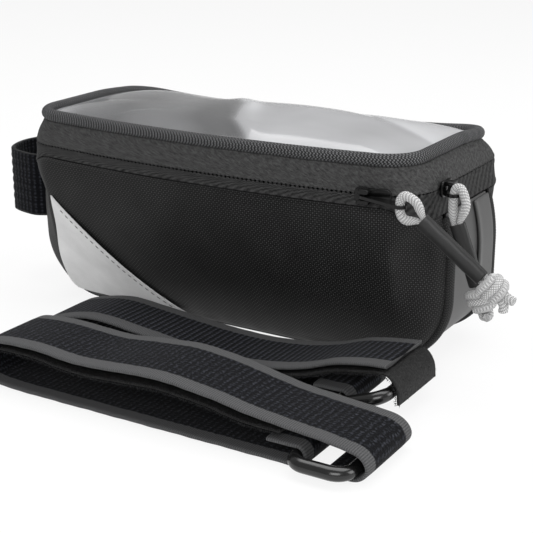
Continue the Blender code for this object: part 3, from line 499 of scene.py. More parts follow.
def near_half(offset=0.0, edge_y=0.0, side_points=181, corner_points=41, end_points=9):
    """Half of the plan, from the stem end along the near side to the rear end."""
    down = -math.pi / 2
    x = HALF_LENGTH + offset
    stem = np.stack([np.full(end_points, -x), np.linspace(-edge_y, -CORNER_Y, end_points)], -1)
    corner = arc((-CORNER_X, -CORNER_Y), CORNER_RADIUS + offset, -math.pi, down - SIDE_ANGLE, corner_points)
    side = arc((0, SIDE_CENTRE), SIDE_RADIUS + offset, down - SIDE_ANGLE, down + SIDE_ANGLE, side_points)
    left = np.vstack([stem[:-1], corner])
    return np.vstack([left, side[1:-1], left[::-1] * (-1, 1)])


def whole_plan(offset=0.0, spacing=0.0010):
    """The closed plan at equal steps, anticlockwise from above."""
    near = near_half(offset)
    return even_path(np.vstack([near, near[::-1][1:-1] * (1, -1)]), spacing, closed=True)


def end_x(height):
    """Half the length at a height: a bulging end over a round bottom corner."""
    height = np.asarray(height, float)
    rise = (height - BULGE_HEIGHT) / (TAPE_EDGE_END - BULGE_HEIGHT)
    full = HALF_LENGTH + TAPE_FLARE + END_BULGE * (1 - np.clip(rise, 0, None) ** 2)
    low = np.clip(BOTTOM_HEIGHT + END_CORNER_RADIUS - height, 0, END_CORNER_RADIUS)
    return full - END_CORNER_RADIUS + np.sqrt(END_CORNER_RADIUS ** 2 - low ** 2)


def side_y(height):
    """Half the width at a height: (1 - down^p)^(1/p) between the bottom seam and the zip."""
    down = np.clip((TAPE_EDGE_SIDE - height) / (TAPE_EDGE_SIDE - BOTTOM_HEIGHT), 0, 1)
    share = (1 - down ** SIDE_FULLNESS) ** (1 / SIDE_FULLNESS)
    return PANEL_EDGE_Y + (HALF_WIDTH + SIDE_FLARE - PANEL_EDGE_Y) * share


def smooth_step(value, low, high):
    """0 below low, 1 above high, and a cubic with level ends between."""
    share = np.clip((value - low) / (high - low), 0, 1)
    return share * share * (3 - 2 * share)


def tape_edge(x):
    """Height of the seam under the lower tape, which dips across the ends."""
    return TAPE_EDGE_SIDE + (TAPE_EDGE_END - TAPE_EDGE_SIDE) * smooth_step(np.abs(x) / HALF_LENGTH, 0.86, 1.0)


def corner_ease(along, out, height):
    """How far the side draws in at its two ends: most at the corner, nothing at the zip and the seam."""
    return np.sign(along) * CORNER_EASE * smooth_step(np.abs(along), 0.78, 0.98) \
        * smooth_step(out, -0.004, 0.018) * smooth_step(-height, -0.0700, -0.0540)


def side_surface(along, across, height):
    """A point of the near side from its plan shares and its height."""
    out = (side_y(height) - PANEL_EDGE_Y) * across
    x = along * end_x(height) - corner_ease(along, out, height)
    return np.stack([x, -PANEL_EDGE_Y - out, height + 0 * along], -1)


def plan_shares(**counts):
    """The near half of the plan, with each point's share along the bag and out from the seam."""
    plan = near_half(edge_y=PANEL_EDGE_Y, **counts)
    return plan, plan[:, 0] / HALF_LENGTH, (-plan[:, 1] - PANEL_EDGE_Y) / (HALF_WIDTH - PANEL_EDGE_Y)


def side_levels(count):
    """Shares of the way from the bottom seam up to the zip, closer together at the bottom."""
    return 1 - np.cos(np.linspace(0, math.pi / 2, count)) ** LEVEL_POWER




def settle_lid(points):
    """The soft lid sags on its far side and draws in at its ends, more the higher a point is over the zip."""
    x, y, z = np.moveaxis(np.asarray(points, float), -1, 0)
    rise = np.clip((z - zip_height) / (upper_tape_top - zip_height), 0, 1) ** 1.3
    far = smooth_step(y, 0.0, 0.045) * rise
    middle = 1 - 0.75 * np.clip(np.abs(x) / HALF_LENGTH, 0, 1) ** 3
    return np.stack([x * (1 - np.where(x < 0, STEM_DRAW, REAR_DRAW) * rise), y - LID_LEAN * far,
                     z - LID_DROP * far * middle], -1)


def far_side(grid):
    """The mirrored sheet, turned round so that it still faces outwards."""
    return grid[:, ::-1] * (1, -1, 1)


print("plan corner", round(CORNER_X, 4), round(CORNER_Y, 4), "zip height", round(zip_height, 4))

# %% [markdown]
# Each side panel is one loft. Real cloth over thin foam isn't perfect, so the sheet is moved along its own
# normals by a few slow waves, and it puckers a little beside the piping where the seam gathers it.


# %% Side panels
PANEL_ROWS = 90
PANEL_THICKNESS = 0.0016


def panel_grid():
    plan, along, across = plan_shares()
    levels = side_levels(PANEL_ROWS)
    top = tape_edge(plan[:, 0])
    height = BOTTOM_HEIGHT + levels[:, None] * (top - BOTTOM_HEIGHT)
    return side_surface(along[None, :], across[None, :], height), levels


def soften(grid, levels):
    """Slow hollows and a pucker near the bottom seam, along the normals."""
    x, z = grid[..., 0], grid[..., 2]
    slow = 0.00035 * np.sin(x * 41 + 1.3) * np.sin(z * 70 + 0.4) + 0.00025 * np.sin(x * 93 - z * 60)
    pucker = 0.00022 * np.sin(x * 2 * math.pi / 0.0135) * np.exp(-levels[:, None] / 0.06)
    hold = np.clip(levels * 18, 0, 1) * np.clip((1 - levels) * 14, 0, 1)
    inward = -0.0006 * np.exp(-((1 - levels) / 0.06)) * np.clip((1 - levels) * 60, 0, 1)
    move = (slow - 0.0004) * hold[:, None] + pucker * np.clip(levels * 40, 0, 1)[:, None] + inward[:, None]
    return grid + normals_of(grid) * move[..., None]


panel_points, panel_levels = panel_grid()
panel_points = soften(panel_points, panel_levels)
for name, points in (("side_panel_near", panel_points), ("side_panel_far", far_side(panel_points))):
    sheet = weld(grid_mesh(name + "_cloth", points))
    dress(thicken(sheet, PANEL_THICKNESS), "bag", "woven_nylon", ballistic_weave, name)
print("panel grid", panel_points.shape)

# %% [markdown]
# The gusset is one long strip down the stem end, under the bag and up the rear. Its path is the bag's own
# outline from the side, so it can be a path with a flat profile. The end tab is a second strip sewn over
# it on the rear, whose free edge shows as a dark line.


# %% Gusset, end tab and piping
GUSSET_THICKNESS = 0.0016
GUSSET_CROWN = 0.0006
TAB_THICKNESS = 0.0010
TAB_STANDOFF, TAB_LIFT = 0.0009, 0.0011


def end_outline(count=60):
    """The side view outline, from the stem end's top, under the bag, to the rear end's top."""
    levels = side_levels(count)
    z = BOTTOM_HEIGHT + levels * (TAPE_EDGE_END - BOTTOM_HEIGHT)
    right = np.stack([end_x(z), z], -1)
    floor = np.stack([np.linspace(-right[0, 0], right[0, 0], 60)[1:-1], np.full(58, BOTTOM_HEIGHT)], -1)
    return np.vstack([(right * (-1, 1))[::-1], floor, right])


def make_gusset():
    path = end_outline()
    y = np.linspace(GUSSET_EDGE_Y, -GUSSET_EDGE_Y, 25)
    grid = np.stack([np.stack([path[:, 0], np.full(len(path), side), path[:, 1]], -1) for side in y])
    crown = GUSSET_CROWN * (1 - (grid[..., 1] / GUSSET_EDGE_Y) ** 2) \
        * np.clip((grid[..., 2] - 0.004) / 0.02, 0, 1)
    sink = GUSSET_CROWN / 2
    grid = grid + normals_of(grid) * (crown - sink)[..., None] * np.clip(crown / sink, 0, 1)[..., None]
    dress(thicken(grid_mesh("gusset_cloth", grid), GUSSET_THICKNESS),
          "bag", "coated_fabric", gusset_cloth, "gusset")


def make_end_tab():
    low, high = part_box("end_tab")
    z = np.linspace(low.z + 0.0006, TAPE_EDGE_END - 0.0004, 40)
    y = np.linspace(low.y, GUSSET_EDGE_Y - 0.0004, 14)
    lift = TAB_LIFT - 0.0006 * np.clip((y - low.y) / 0.004, 0, 1)
    grid = np.stack([np.stack([end_x(z) + TAB_STANDOFF + rise, np.full(len(z), side), z], -1)
                     for side, rise in zip(y, lift)], 1)
    piece = grid_mesh("end_tab_cloth", grid)
    dress(thicken(piece, TAB_THICKNESS), "bag", "coated_fabric", gusset_cloth, "end_tab")


PIPING_RADIUS = 0.0020
PIPING_SINK = 0.0006
PIPING_SPREAD = 1.5
PIPING_STEP = 0.0006
PIPING_PITCH = 0.0012
PIPING_SIDES = 16
PIPING_RELIEF = 0.05
WELT_STRANDS = 6


def make_piping():
    outline = even_path(end_outline(), PIPING_STEP)
    tangent = unit(np.gradient(outline, axis=0))
    inward = np.stack([-tangent[:, 1], tangent[:, 0]], -1)
    line = outline + inward * PIPING_SINK
    line = line[line[:, 1] > 0][2:-2]
    for side, node in ((-1, "piping_near"), (1, "piping_far")):
        path = np.stack([line[:, 0], np.full(len(line), side * HALF_GUSSET), line[:, 1]], -1)
        radii = round_ends(PIPING_RADIUS, path, 0.0012)
        run = np.arange(len(path)) * PIPING_STEP
        relief = 1 + PIPING_RELIEF * strand_lattice(run, PIPING_SIDES, WELT_STRANDS, PIPING_PITCH)
        profile = circle_profile(1.0, PIPING_SIDES)[None] * (radii[:, None] * relief)[..., None] \
            * (1, PIPING_SPREAD)
        piece = weld(grid_mesh(node + "_braid", sweep(path, profile, (0, 1, 0)), close_columns=True))
        dress(piece, "bag", "braided_piping", piping_braid, node)


make_gusset()
make_end_tab()
make_piping()
print("gusset, tab and piping done")

# %% [markdown]
# Stitches repeat by the hundred, so each is a tiny lens of a few faces, and one function lays a whole row
# as arrays: it walks along a line, leaves a gap after each stitch and stands every stitch on the cloth.


# %% Stitches
def lay_stitches(name, line, up):
    """A row of lens shaped stitches: each is a short ellipsoid along the line, half sunk in the cloth."""
    run = distances(line)
    count = max(1, int(run[-1] / (STITCH_LENGTH + STITCH_GAP)))
    middle = (np.arange(count) + 0.5) * run[-1] / count
    spots = np.stack([np.interp(middle, run, line[:, k]) for k in range(3)], -1)
    ahead = np.stack([np.interp(middle + 0.0003, run, line[:, k]) for k in range(3)], -1)
    behind = np.stack([np.interp(middle - 0.0003, run, line[:, k]) for k in range(3)], -1)
    along = unit(ahead - behind)
    rise = unit(np.stack([np.interp(middle, run, up[:, k]) for k in range(3)], -1))
    side = np.cross(rise, along)
    theta = np.linspace(0, math.pi, 7)
    phi = np.linspace(0, 2 * math.pi, 7)[:-1]
    shape = np.stack([np.cos(theta)[:, None] * STITCH_LENGTH / 2 + 0 * phi,
                      np.sin(theta)[:, None] * STITCH_RADIUS * np.cos(phi),
                      np.sin(theta)[:, None] * STITCH_RADIUS * np.sin(phi)], -1)
    axes = np.stack([along, side, rise], 1)
    points = spots[:, None, None] + np.einsum("rcj,njk->nrck", shape, axes)
    r, c = np.arange(6)[:, None], np.arange(6)[None]
    quad = np.stack([r * 6 + c, (r + 1) * 6 + c, (r + 1) * 6 + (c + 1) % 6, r * 6 + (c + 1) % 6], -1)
    faces = quad.reshape(1, -1, 4) + np.arange(count)[:, None, None] * 42
    piece = add_mesh(name, points, faces.reshape(-1, 4).tolist())
    piece.data.shade_smooth()
    return weld(piece)


def make_grained(name, roughness, specular, grain, colours, bump, span=None):
    """One noise gives colour and bump. A span stretches it, so that only its upper part is light."""
    material, tree, shader = start_finish(name, roughness, specular=specular)
    _, where = object_map(tree)
    fine = noise(tree, where, *grain)
    shown = ramp(tree, fine, *span) if span else fine
    colour_and_bump(tree, shader, blend_colour(tree, shown, *colours), fine, *bump)
    return material


def make_thread(name, value, blue=0.0):
    return make_grained(name, 0.6, 0.3, (3000.0, 1.0), (grey(value * 0.8, blue), grey(value, blue)),
                        (0.00004, 0.4))


patch_thread = make_thread("patch_thread", 118)

# %% [markdown]
# The corner patches are reflective film sewn on the cloth. Film is smooth and pale, with glass beads too
# small to see that only give it a fine sparkle. It lies a hair above the panel's surface, between a curved
# edge beside the piping and a slanted edge with one row of stitches.


# %% Reflective patches
PATCH_TOP = 0.0570
SLANT_HEIGHTS, SLANT_PLACES = (0.0020, 0.0140, 0.0243, 0.0570), (-0.0150, -0.0315, -0.0450, -0.0846)
START_CURVE = ((0.0040, 0.0120), (0.0112, 0.0190), (0.0188, 0.0252), (0.0300, 0.0312), (0.0430, 0.0345),
               (0.0575, 0.0336))
PATCH_LIFT = 0.00055
PATCH_THICKNESS = 0.0004
STITCH_LENGTH, STITCH_GAP, STITCH_RADIUS = 0.0021, 0.0011, 0.00026


def make_reflective_film():
    material, tree, shader = start_finish("reflective_film", 0.42, specular=0.5)
    _, _, where = cloth_map(tree)
    beads = noise(tree, where, 4200.0, 1.0)
    slow = noise(tree, where, 55.0, 3.0)
    tone = mixed(tree, beads, 0.35, slow, 0.65)
    colour = blend_colour(tree, ramp(tree, tone, 0.3, 0.7), grey(190), grey(224))
    colour_and_bump(tree, shader, colour, beads, 0.00003, 0.3)
    return material


def patch_grid(rows=48, columns=70, inset=0.0):
    """Rows from the bottom seam to the patch's upper point, each from the piping to the slanted edge."""
    plan, along, across = plan_shares()
    run = distances(plan)
    curve = BOTTOM_HEIGHT + END_CORNER_RADIUS * (1 - np.cos(np.linspace(0.52, math.pi / 2, rows * 3 // 4)))
    height = np.concatenate([curve, np.linspace(curve[-1], PATCH_TOP - 0.0012, rows // 4 + 1)[1:]])
    stop = np.interp((np.interp(height, SLANT_HEIGHTS, SLANT_PLACES) - inset) / end_x(height), along, run)
    start = smooth_path(START_CURVE).T
    begin = np.minimum(np.interp(height, start[0], start[1]), stop - 0.0002)
    place = begin[:, None] + np.linspace(0, 1, columns)[None] * (stop - begin)[:, None]
    grid = side_surface(np.interp(place, run, along), np.interp(place, run, across), height[:, None])
    return grid + normals_of(grid) * PATCH_LIFT


reflective_film = make_reflective_film()
film_points = patch_grid()
stitch_line = patch_grid(inset=0.0032)[4:-3]
stitch_up = normals_of(stitch_line)[:, -1]
for side, points in (("near", film_points), ("far", far_side(film_points))):
    film = weld(grid_mesh(f"reflective_patch_{side}_film", points))
    dress(thicken(film, PATCH_THICKNESS, 1.0), "bag", "reflective_film", reflective_film,
          f"reflective_patch_{side}")
    turn = (1, 1, 1) if side == "near" else (1, -1, 1)
    line = (stitch_line[:, -1] + stitch_up * 0.00042) * turn
    row = lay_stitches(f"patch_stitches_{side}", line, stitch_up * turn)
    dress(row, "bag", "reflective_film", patch_thread)
print("patch film", film_points.shape)

# %% [markdown]
# The zip's two tapes meet edge to edge, and only small dark holes between the coil's turns show along the
# line. So each tape's edge is a wave: twice in every 4 mm it draws back and leaves a hole. The tapes are
# rings of cloth between the zip line and their seams, with a soft rib beside each edge.

# %% Zip tapes
TAPE_THICKNESS = 0.0012
TOOTH_PITCH = 0.0020
POINTS_PER_TOOTH = 8
TAPE_SPACING = TOOTH_PITCH / POINTS_PER_TOOTH
EDGE_GAP = 0.00006
HOLE_DEPTH = 0.00036


def tooth_wave(count):
    """How far the tape's edge draws back, once in every pitch: the positive half of a sine."""
    step = np.arange(count) * 2 * math.pi / POINTS_PER_TOOTH
    return HOLE_DEPTH * np.clip(np.sin(step) + 0.25, 0, None)


def toothed_plan():
    """The zip's line, with a whole number of teeth."""
    plan = whole_plan(0.0, TAPE_SPACING)
    return plan[:len(plan) // POINTS_PER_TOOTH * POINTS_PER_TOOTH]


def make_lower_tape():
    plan = toothed_plan()
    edge = tape_edge(plan[:, 0]) + 0.0005
    spread = end_x(edge) / HALF_LENGTH
    foot = plan * np.stack([spread, np.full(len(plan), 1 + SIDE_FLARE / HALF_WIDTH)], -1)
    top = zip_height - EDGE_GAP - tooth_wave(len(plan))
    downs = np.array([1, 0.93, 0.85, 0.72, 0.58, 0.45, 0.33, 0.22, 0.12, 0.05, 0.0])
    grid = np.array([np.column_stack([plan + (foot - plan) * down ** 1.8, top + (edge - top) * down])
                     for down in downs])
    rib = 0.00025 * np.exp(-((downs - 0.14) / 0.06) ** 2) + 0.0002 * np.exp(-((downs - 0.93) / 0.05) ** 2)
    grid = grid + normals_of(grid, True) * rib[:, None, None]
    dress(thicken(grid_mesh("zip_tape_lower_cloth", grid, close_columns=True), TAPE_THICKNESS),
          "bag", "zip_tape", lower_tape_cloth, "zip_tape_lower")
    return grid


def make_upper_tape():
    shares = np.array([0, 0.03, 0.08, 0.15, 0.25, 0.4, 0.55, 0.7, 0.82, 0.9, 0.96, 1.0])
    plan = toothed_plan()
    outward = np.roll(plan, 1, 0) - np.roll(plan, -1, 0)
    outward = unit(np.stack([-outward[:, 1], outward[:, 0]], -1))
    outward *= np.sign((outward * plan).sum(1))[:, None]
    swell = 0.0005 * np.sin(math.pi * shares) - 0.0006 * shares
    swell += 0.00022 * np.exp(-((shares - 0.07) / 0.04) ** 2) + 0.0002 * np.exp(-((shares - 0.9) / 0.05) ** 2)
    low = zip_height + EDGE_GAP + tooth_wave(len(plan))
    rows = [np.column_stack([plan + outward * s, low + (upper_tape_top + 0.0005 - low) * share])
            for s, share in zip(swell, shares)]
    grid = settle_lid(np.array(rows))
    dress(thicken(grid_mesh("zip_tape_upper_cloth", grid, close_columns=True), TAPE_THICKNESS),
          "lid", "zip_tape", tape_cloth, "zip_tape_upper")
    return grid


lower_tape = make_lower_tape()
upper_tape = make_upper_tape()
print("tape grids", lower_tape.shape, upper_tape.shape)

# %% [markdown]
# A nylon zip coil is a wire wound into a flat spring. Behind the tapes only its rhythm shows, so each coil
# is a ring whose thickness rises and falls once a turn.


# %% Zip coils
COIL_FULLNESS = 1.1
nylon = make_grained("black_nylon_coil", 0.4, 0.5, (900.0, 2.0), (grey(16), grey(38)), (0.00004, 0.3))
for node, body in (("zip_coil_lower", "bag"), ("zip_coil_upper", "lid")):
    low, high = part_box(node)
    radius = (high.z - low.z) / 2
    inset = high.x - radius - HALF_LENGTH
    plan = whole_plan(inset, TAPE_SPACING)
    path = np.column_stack([plan, np.full(len(plan), (low.z + high.z) / 2)])
    beat = 1 - 0.28 * (0.5 + 0.5 * np.cos(np.arange(len(plan)) * 2 * math.pi / POINTS_PER_TOOTH))
    profile = circle_profile(radius * COIL_FULLNESS, 8)[None] * beat[:, None, None]
    ring = grid_mesh(node + "_turns", sweep(path, profile, (0, 0, 1), True), True, True)
    dress(ring, body, "zip_coil", nylon, node)

# %% [markdown]
# The lid's rim is a thick braided welt. Its strands really stand up, so the radius itself carries the
# diamond lattice, and the same lattice in the material darkens the valleys.


# %% Lid rim
RIM_STEP = 0.00036
RIM_PITCH = 0.0015
RIM_SIDES = 36
RIM_RELIEF = 0.045


def make_rim():
    low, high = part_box("lid_rim")
    radius = (high.z - low.z) / 2
    plan = whole_plan(high.x - radius - HALF_LENGTH, RIM_STEP)
    path = settle_lid(np.column_stack([plan, np.full(len(plan), (low.z + high.z) / 2)]))
    lattice = strand_lattice(np.arange(len(path)) * RIM_STEP, RIM_SIDES, WELT_STRANDS, RIM_PITCH)
    height = 1 + RIM_RELIEF * (np.abs(lattice) - 0.4)
    profile = circle_profile(radius, RIM_SIDES)[None] * height[..., None]
    piece = grid_mesh("lid_rim_braid", sweep(path, profile, (0, 0, 1), True), True, True)
    dress(piece, "lid", "braided_piping", rim_braid, "lid_rim")


make_rim()

# %% [markdown]
# The window is a soft clear film that domes up inside the rim. It is never quite flat: long shallow waves run
# across it, and they are what the light shows. Its colour also carries painted reflection and painted shade.
# Rings of the rim's own plan shrink towards the middle, each a little higher than the last.


# %% Lid window
WINDOW_DOME = 0.0062
WINDOW_THICKNESS = 0.0005
BEND_Y = (-0.0612, -0.0492, -0.0316, -0.0047, 0.0069, 0.05)
BEND_X = (0.0443, 0.0264, 0.0071, -0.0056, -0.0172, -0.034)
CREASE_POINT, CREASE_ACROSS = (0.0688, 0.0011), (0.462, 0.887)


def make_film_finish():
    material, tree, shader = start_finish("clear_window_film", 0.15, specular=0.5)
    _, where = object_map(tree)
    painted_reflection_noise = noise(tree, where, 22.0, 2.0)
    # Painted reflection and painted shade: the per-point tone from make_window and a slow noise lighten and
    # darken the film.
    tone = tree.nodes.new("ShaderNodeAttribute")
    tone.attribute_name = "tone"
    painted_reflection_tone = calc(tree, "MULTIPLY_ADD", painted_reflection_noise, 0.5, calc(tree, "SUBTRACT", tone.outputs["Fac"], 0.25))
    colour = blend_colour(tree, painted_reflection_tone, grey(104, 0.02), grey(228, 0.02))
    scratches = noise(tree, where, 240.0, 4.0, 0.6)
    colour_and_bump(tree, shader, colour, scratches, 0.00006, 0.12)
    shader.inputs["Alpha"].default_value = 0.66
    shader.inputs["Coat Weight"].default_value = 0.35
    shader.inputs["Coat Roughness"].default_value = 0.06
    return material


def make_window():
    low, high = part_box("lid_window")
    inset = high.x - HALF_LENGTH
    edge = whole_plan(inset, 0.0016)
    shares = np.concatenate([np.linspace(1.0, 0.9, 9), np.linspace(0.88, 0.0, 34)])
    x = edge[None, :, 0] * shares[:, None]
    y = edge[None, :, 1] * shares[:, None]
    base = low.z + 0.0006
    rise = WINDOW_DOME * (1 - shares ** 5.0)[:, None]
    free = (1 - shares ** 8)[:, None]
    bend = np.interp(y, BEND_Y, BEND_X)
    crease = (x - CREASE_POINT[0]) * CREASE_ACROSS[0] + (y - CREASE_POINT[1]) * CREASE_ACROSS[1]
    fold = 0.0012 * np.exp(-((x - bend - 0.004) / 0.007) ** 2) - 0.0006 * np.exp(-(crease / 0.004) ** 2)
    # The tone is painted reflection and painted shade: lighter past the bend, past the crease and at the stem
    # end, a painted highlight just past the bend, darker just before the bend and along the near rim.
    tone = 0.20 + 0.36 * smooth_step(x - bend, -0.0015, 0.0020) + 0.40 * np.exp(-((x + 0.092) / 0.010) ** 2)
    tone += 0.45 * np.exp(-((x - bend - 0.006) / 0.005) ** 2) * smooth_step(y, -0.035, 0.0)
    tone -= 0.14 * np.exp(-((x - bend + 0.012) / 0.012) ** 2)
    tone -= 0.12 * smooth_step(-y, -0.004, 0.012) * smooth_step(bend - x, 0.0, 0.006) \
        * smooth_step(x, -0.085, -0.070)
    tone += 0.28 * smooth_step(crease, -0.001, 0.002) * (x > 0.02)
    waves = 0.00045 * np.sin(x * 75 + y * 30) + 0.00030 * np.sin(x * 38 - y * 110 + 0.6)
    hollow = -0.0016 * np.exp(-((x + 0.055) / 0.030) ** 2 - ((y + 0.004) / 0.026) ** 2)
    z = base + rise + (fold + waves + hollow) * free
    grid = settle_lid(np.stack([x, y, z], -1))
    film = weld(grid_mesh("lid_window_film", grid, close_columns=True, values={"tone": tone}))
    dress(thicken(film, WINDOW_THICKNESS), "lid", "window_film", make_film_finish(), "lid_window")


make_window()

# %% [markdown]
# Under the film the phone lies on a padded layer, open at the stem end where a strip closes the pocket.
# It is a thin pillow: a flat outline whose middle is higher than its bound edge.


# %% Phone pocket
POCKET_MOUTH = 0.026


def pillow(name, outline, low_z, high_z, puff, rows=14):
    """A closed flat cushion over a convex outline: rings shrink to the middle, above and below."""
    centre = outline.mean(0)
    share = np.concatenate([np.linspace(0, 1, rows), np.linspace(1, 0, rows)])
    above = np.concatenate([np.ones(rows), np.zeros(rows)])
    height = np.where(above > 0, high_z, low_z) + np.where(above > 0, 1, -1) * puff * (1 - share ** 4)
    flat = centre + (outline[None] - centre) * share[:, None, None]
    grid = np.concatenate([flat, np.broadcast_to(height[:, None, None], (*flat.shape[:2], 1))], -1)
    return weld(grid_mesh(name, settle_lid(grid[::-1]), close_columns=True))


def make_pocket():
    low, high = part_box("phone_pocket_panel")
    plan = whole_plan(high.x - HALF_LENGTH, 0.0015)
    kept = plan[plan[:, 0] > -HALF_LENGTH + POCKET_MOUTH]
    start = int(np.argmin(kept[:, 0] + (kept[:, 1] > 0)))
    outline = even_path(np.roll(kept, -start, axis=0), 0.0015, closed=True)
    panel = pillow("phone_pocket_pad", outline, low.z + 0.0003, high.z - 0.0003, 0.0002)
    dress(panel, "lid", "lining", lining_cloth, "phone_pocket_panel")
    low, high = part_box("pocket_closure")
    half = (high.y - low.y) / 2
    strip = np.array([(low.x, -half), (high.x, -half), (high.x, half), (low.x, half)])
    strip = even_path(strip, 0.001, closed=True)
    dress(pillow("pocket_closure_strip", strip, low.z + 0.0002, high.z - 0.0002, 0.0001),
          "lid", "hook_tape", hook_cloth, "pocket_closure")


# Dark tape full of small hooks: a sharp fine noise, dark between the hooks.
hook_cloth = make_grained("hook_tape_cloth", 0.7, 0.4, (1100.0, 3.0, 0.6), (grey(4), grey(40)),
                          (0.0004, 0.9), (0.45, 0.75))
make_pocket()

# %% [markdown]
# Inside the bag is a padded tub of smooth lining. The same side surface, drawn in by the wall's thickness,
# makes it, and shallow quilting lines are pressed in along the height.


# %% Lining, board, pad and hinge cloth
LINING_INSET = 0.0022
LINING_THICKNESS = 0.0012
HINGE_THICKNESS = 0.0006
HINGE_REACH = 0.0055


def make_lining():
    plan, along, across = plan_shares(side_points=101, corner_points=25)
    levels = side_levels(50)[:, None]
    edge_y = PANEL_EDGE_Y - LINING_INSET
    top = tape_edge(plan[:, 0]) - 2 * LINING_INSET
    z = BOTTOM_HEIGHT + LINING_INSET + levels * (top - BOTTOM_HEIGHT - LINING_INSET)
    y = edge_y + (side_y(z - LINING_INSET) - LINING_INSET - edge_y) * across
    x = along * (np.minimum(end_x(z - LINING_INSET), end_x(z)) - LINING_INSET * 1.1) \
        - corner_ease(along, y - edge_y, z) * 1.1
    near = np.stack([x, -y, z], -1)
    ring = np.concatenate([near, far_side(near)], 1)
    quilt = 0.00035 * np.clip(np.abs(np.sin(ring[..., 2] * math.pi / 0.018)) * 6, 0, 1) - 0.00035
    ring = ring + normals_of(ring, True) * quilt[..., None]
    floor_share = np.linspace(0, 1, 12)[1:, None, None]
    straight = ring[:1] * (1, 0, 1)
    floor = ring[:1] + (straight - ring[:1]) * floor_share
    grid = np.concatenate([floor[::-1], ring], 0)
    tub = weld(grid_mesh("inner_lining_cloth", grid, close_columns=True))
    dress(thicken(tub, LINING_THICKNESS), "bag", "lining", lining_cloth, "inner_lining")


def make_plain(name, dark, light, roughness, scale, depth, metallic=0.0, specular=0.5):
    """A moulded or cast finish: fine grain in colour and bump, with a slow change of tone."""
    material, tree, shader = start_finish(name, roughness, metallic, specular=specular)
    _, where = object_map(tree)
    fine = noise(tree, where, scale, 3.0)
    slow = noise(tree, where, scale / 25, 2.0)
    tone = calc(tree, "MULTIPLY_ADD", slow, 0.6, calc(tree, "MULTIPLY", fine, 0.4))
    colour_and_bump(tree, shader, blend_colour(tree, tone, grey(dark), grey(light)), fine, depth, 0.4)
    return material


make_lining()
pad_rubber = make_plain("pad_rubber", 22, 52, 0.75, 2200.0, 0.00008)
board_plastic = make_plain("board_plastic", 40, 70, 0.5, 1500.0, 0.00004)
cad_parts["base_pad"].data.materials.append(pad_rubber)
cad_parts["base_board"].data.materials.append(board_plastic)


def make_hinge_cloth():
    """A strip over the parting line at the stem end, with a slight kink at the zip."""
    low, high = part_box("lid_hinge_strip")
    z = np.linspace(low.z, zip_height + HINGE_REACH, 40)
    y = np.linspace(high.y, low.y, 30)
    lean = np.interp(z, [low.z, lower_tape_top, z[-1]],
                     [-HALF_LENGTH - TAPE_FLARE - 0.0009, -HALF_LENGTH - 0.0007, -HALF_LENGTH - 0.0009])
    grid = settle_lid(np.stack([np.stack([lean, np.full(len(z), side), z], -1) for side in y], 1))
    strip = grid_mesh("lid_hinge_cloth", grid)
    thicken(strip, HINGE_THICKNESS)
    strip.data.materials.append(tape_cloth)
    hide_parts("lid_hinge_strip")
    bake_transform(strip)


make_hinge_cloth()

# %% [markdown]
# A zip slider is a small casting: two waisted plates, one each side of the tapes, a wedge between them and
# a bridge that holds the pull tab's pin. Each part is a slab with a round edge over a shaped outline.


# %% Sliders
SLIDER_LENGTHS = {"front": 0.0150, "rear": 0.0098}
SLIDER_HEIGHT = 0.0070
SLIDER_PLATE = 0.0013
SLIDER_CLEARANCE = 0.0007
PIN_STANDOFF = 0.0021
PIN_RADIUS = 0.0006
PIN_HALF = 0.0028
INNER_PLATE = -0.0036
SLIDER_TAIL = 0.0046
SLIDER_EDGE = 0.0004
CORNER_POWER = 0.45
LUG_LENGTH, LUG_HEIGHT = 0.0044, 0.0021
black_metal = make_plain("black_metal", 8, 24, 0.24, 900.0, 0.00003, metallic=0.6, specular=0.6)


def slab_points(outline, low, high, edge):
    """Rings over a convex outline, closed at both poles, with an edge rounded by a quarter circle."""
    centre = outline.mean(0)
    reach = np.linalg.norm(outline - centre, axis=1).max()
    turn = np.linspace(0, math.pi / 2, 4)
    shrink = edge / reach
    share = np.array([0, 0.5, 1 - shrink] + [1 - shrink + shrink * math.sin(a) for a in turn[1:]]
                     + [1 - shrink + shrink * math.cos(a) for a in turn] + [0.5, 0])
    height = np.array([high, high, high] + [high - edge + edge * math.cos(a) for a in turn[1:]]
                      + [low + edge - edge * math.sin(a) for a in turn] + [low, low])
    flat = centre + (outline[None] - centre) * share[:, None, None]
    return np.concatenate([flat, np.broadcast_to(height[:, None, None], (*flat.shape[:2], 1))], -1)


def waisted(length, height, waist, count=64):
    """A plate outline: wide at both ends, drawn in at the middle, with round corners."""
    angle = full_turn(count)
    x = np.sign(np.cos(angle)) * np.abs(np.cos(angle)) ** CORNER_POWER * length / 2
    y = np.sign(np.sin(angle)) * np.abs(np.sin(angle)) ** CORNER_POWER * height / 2
    return np.stack([x, y * (1 - waist * np.exp(-(x / (length * 0.22)) ** 2))], -1)


def join_grids(name, grids, close_rows=False):
    """Several closed surfaces in one piece."""
    parts = [grid_mesh(f"{name}_{k}", grid, close_rows, True) for k, grid in enumerate(grids)]
    for part in parts:
        weld(part)
    with bpy.context.temp_override(active_object=parts[0], selected_editable_objects=parts):
        bpy.ops.object.join()
    parts[0].name = name
    return parts[0]


def slider_axes(position, direction):
    """Origin and axes of a slider: along the zip, out of the bag, up."""
    along = np.array([*direction, 0.0])
    along = along / np.linalg.norm(along)
    up = np.array([0.0, 0.0, 1.0])
    return np.array([*position, zip_height]), np.stack([along, up, np.cross(along, up)])


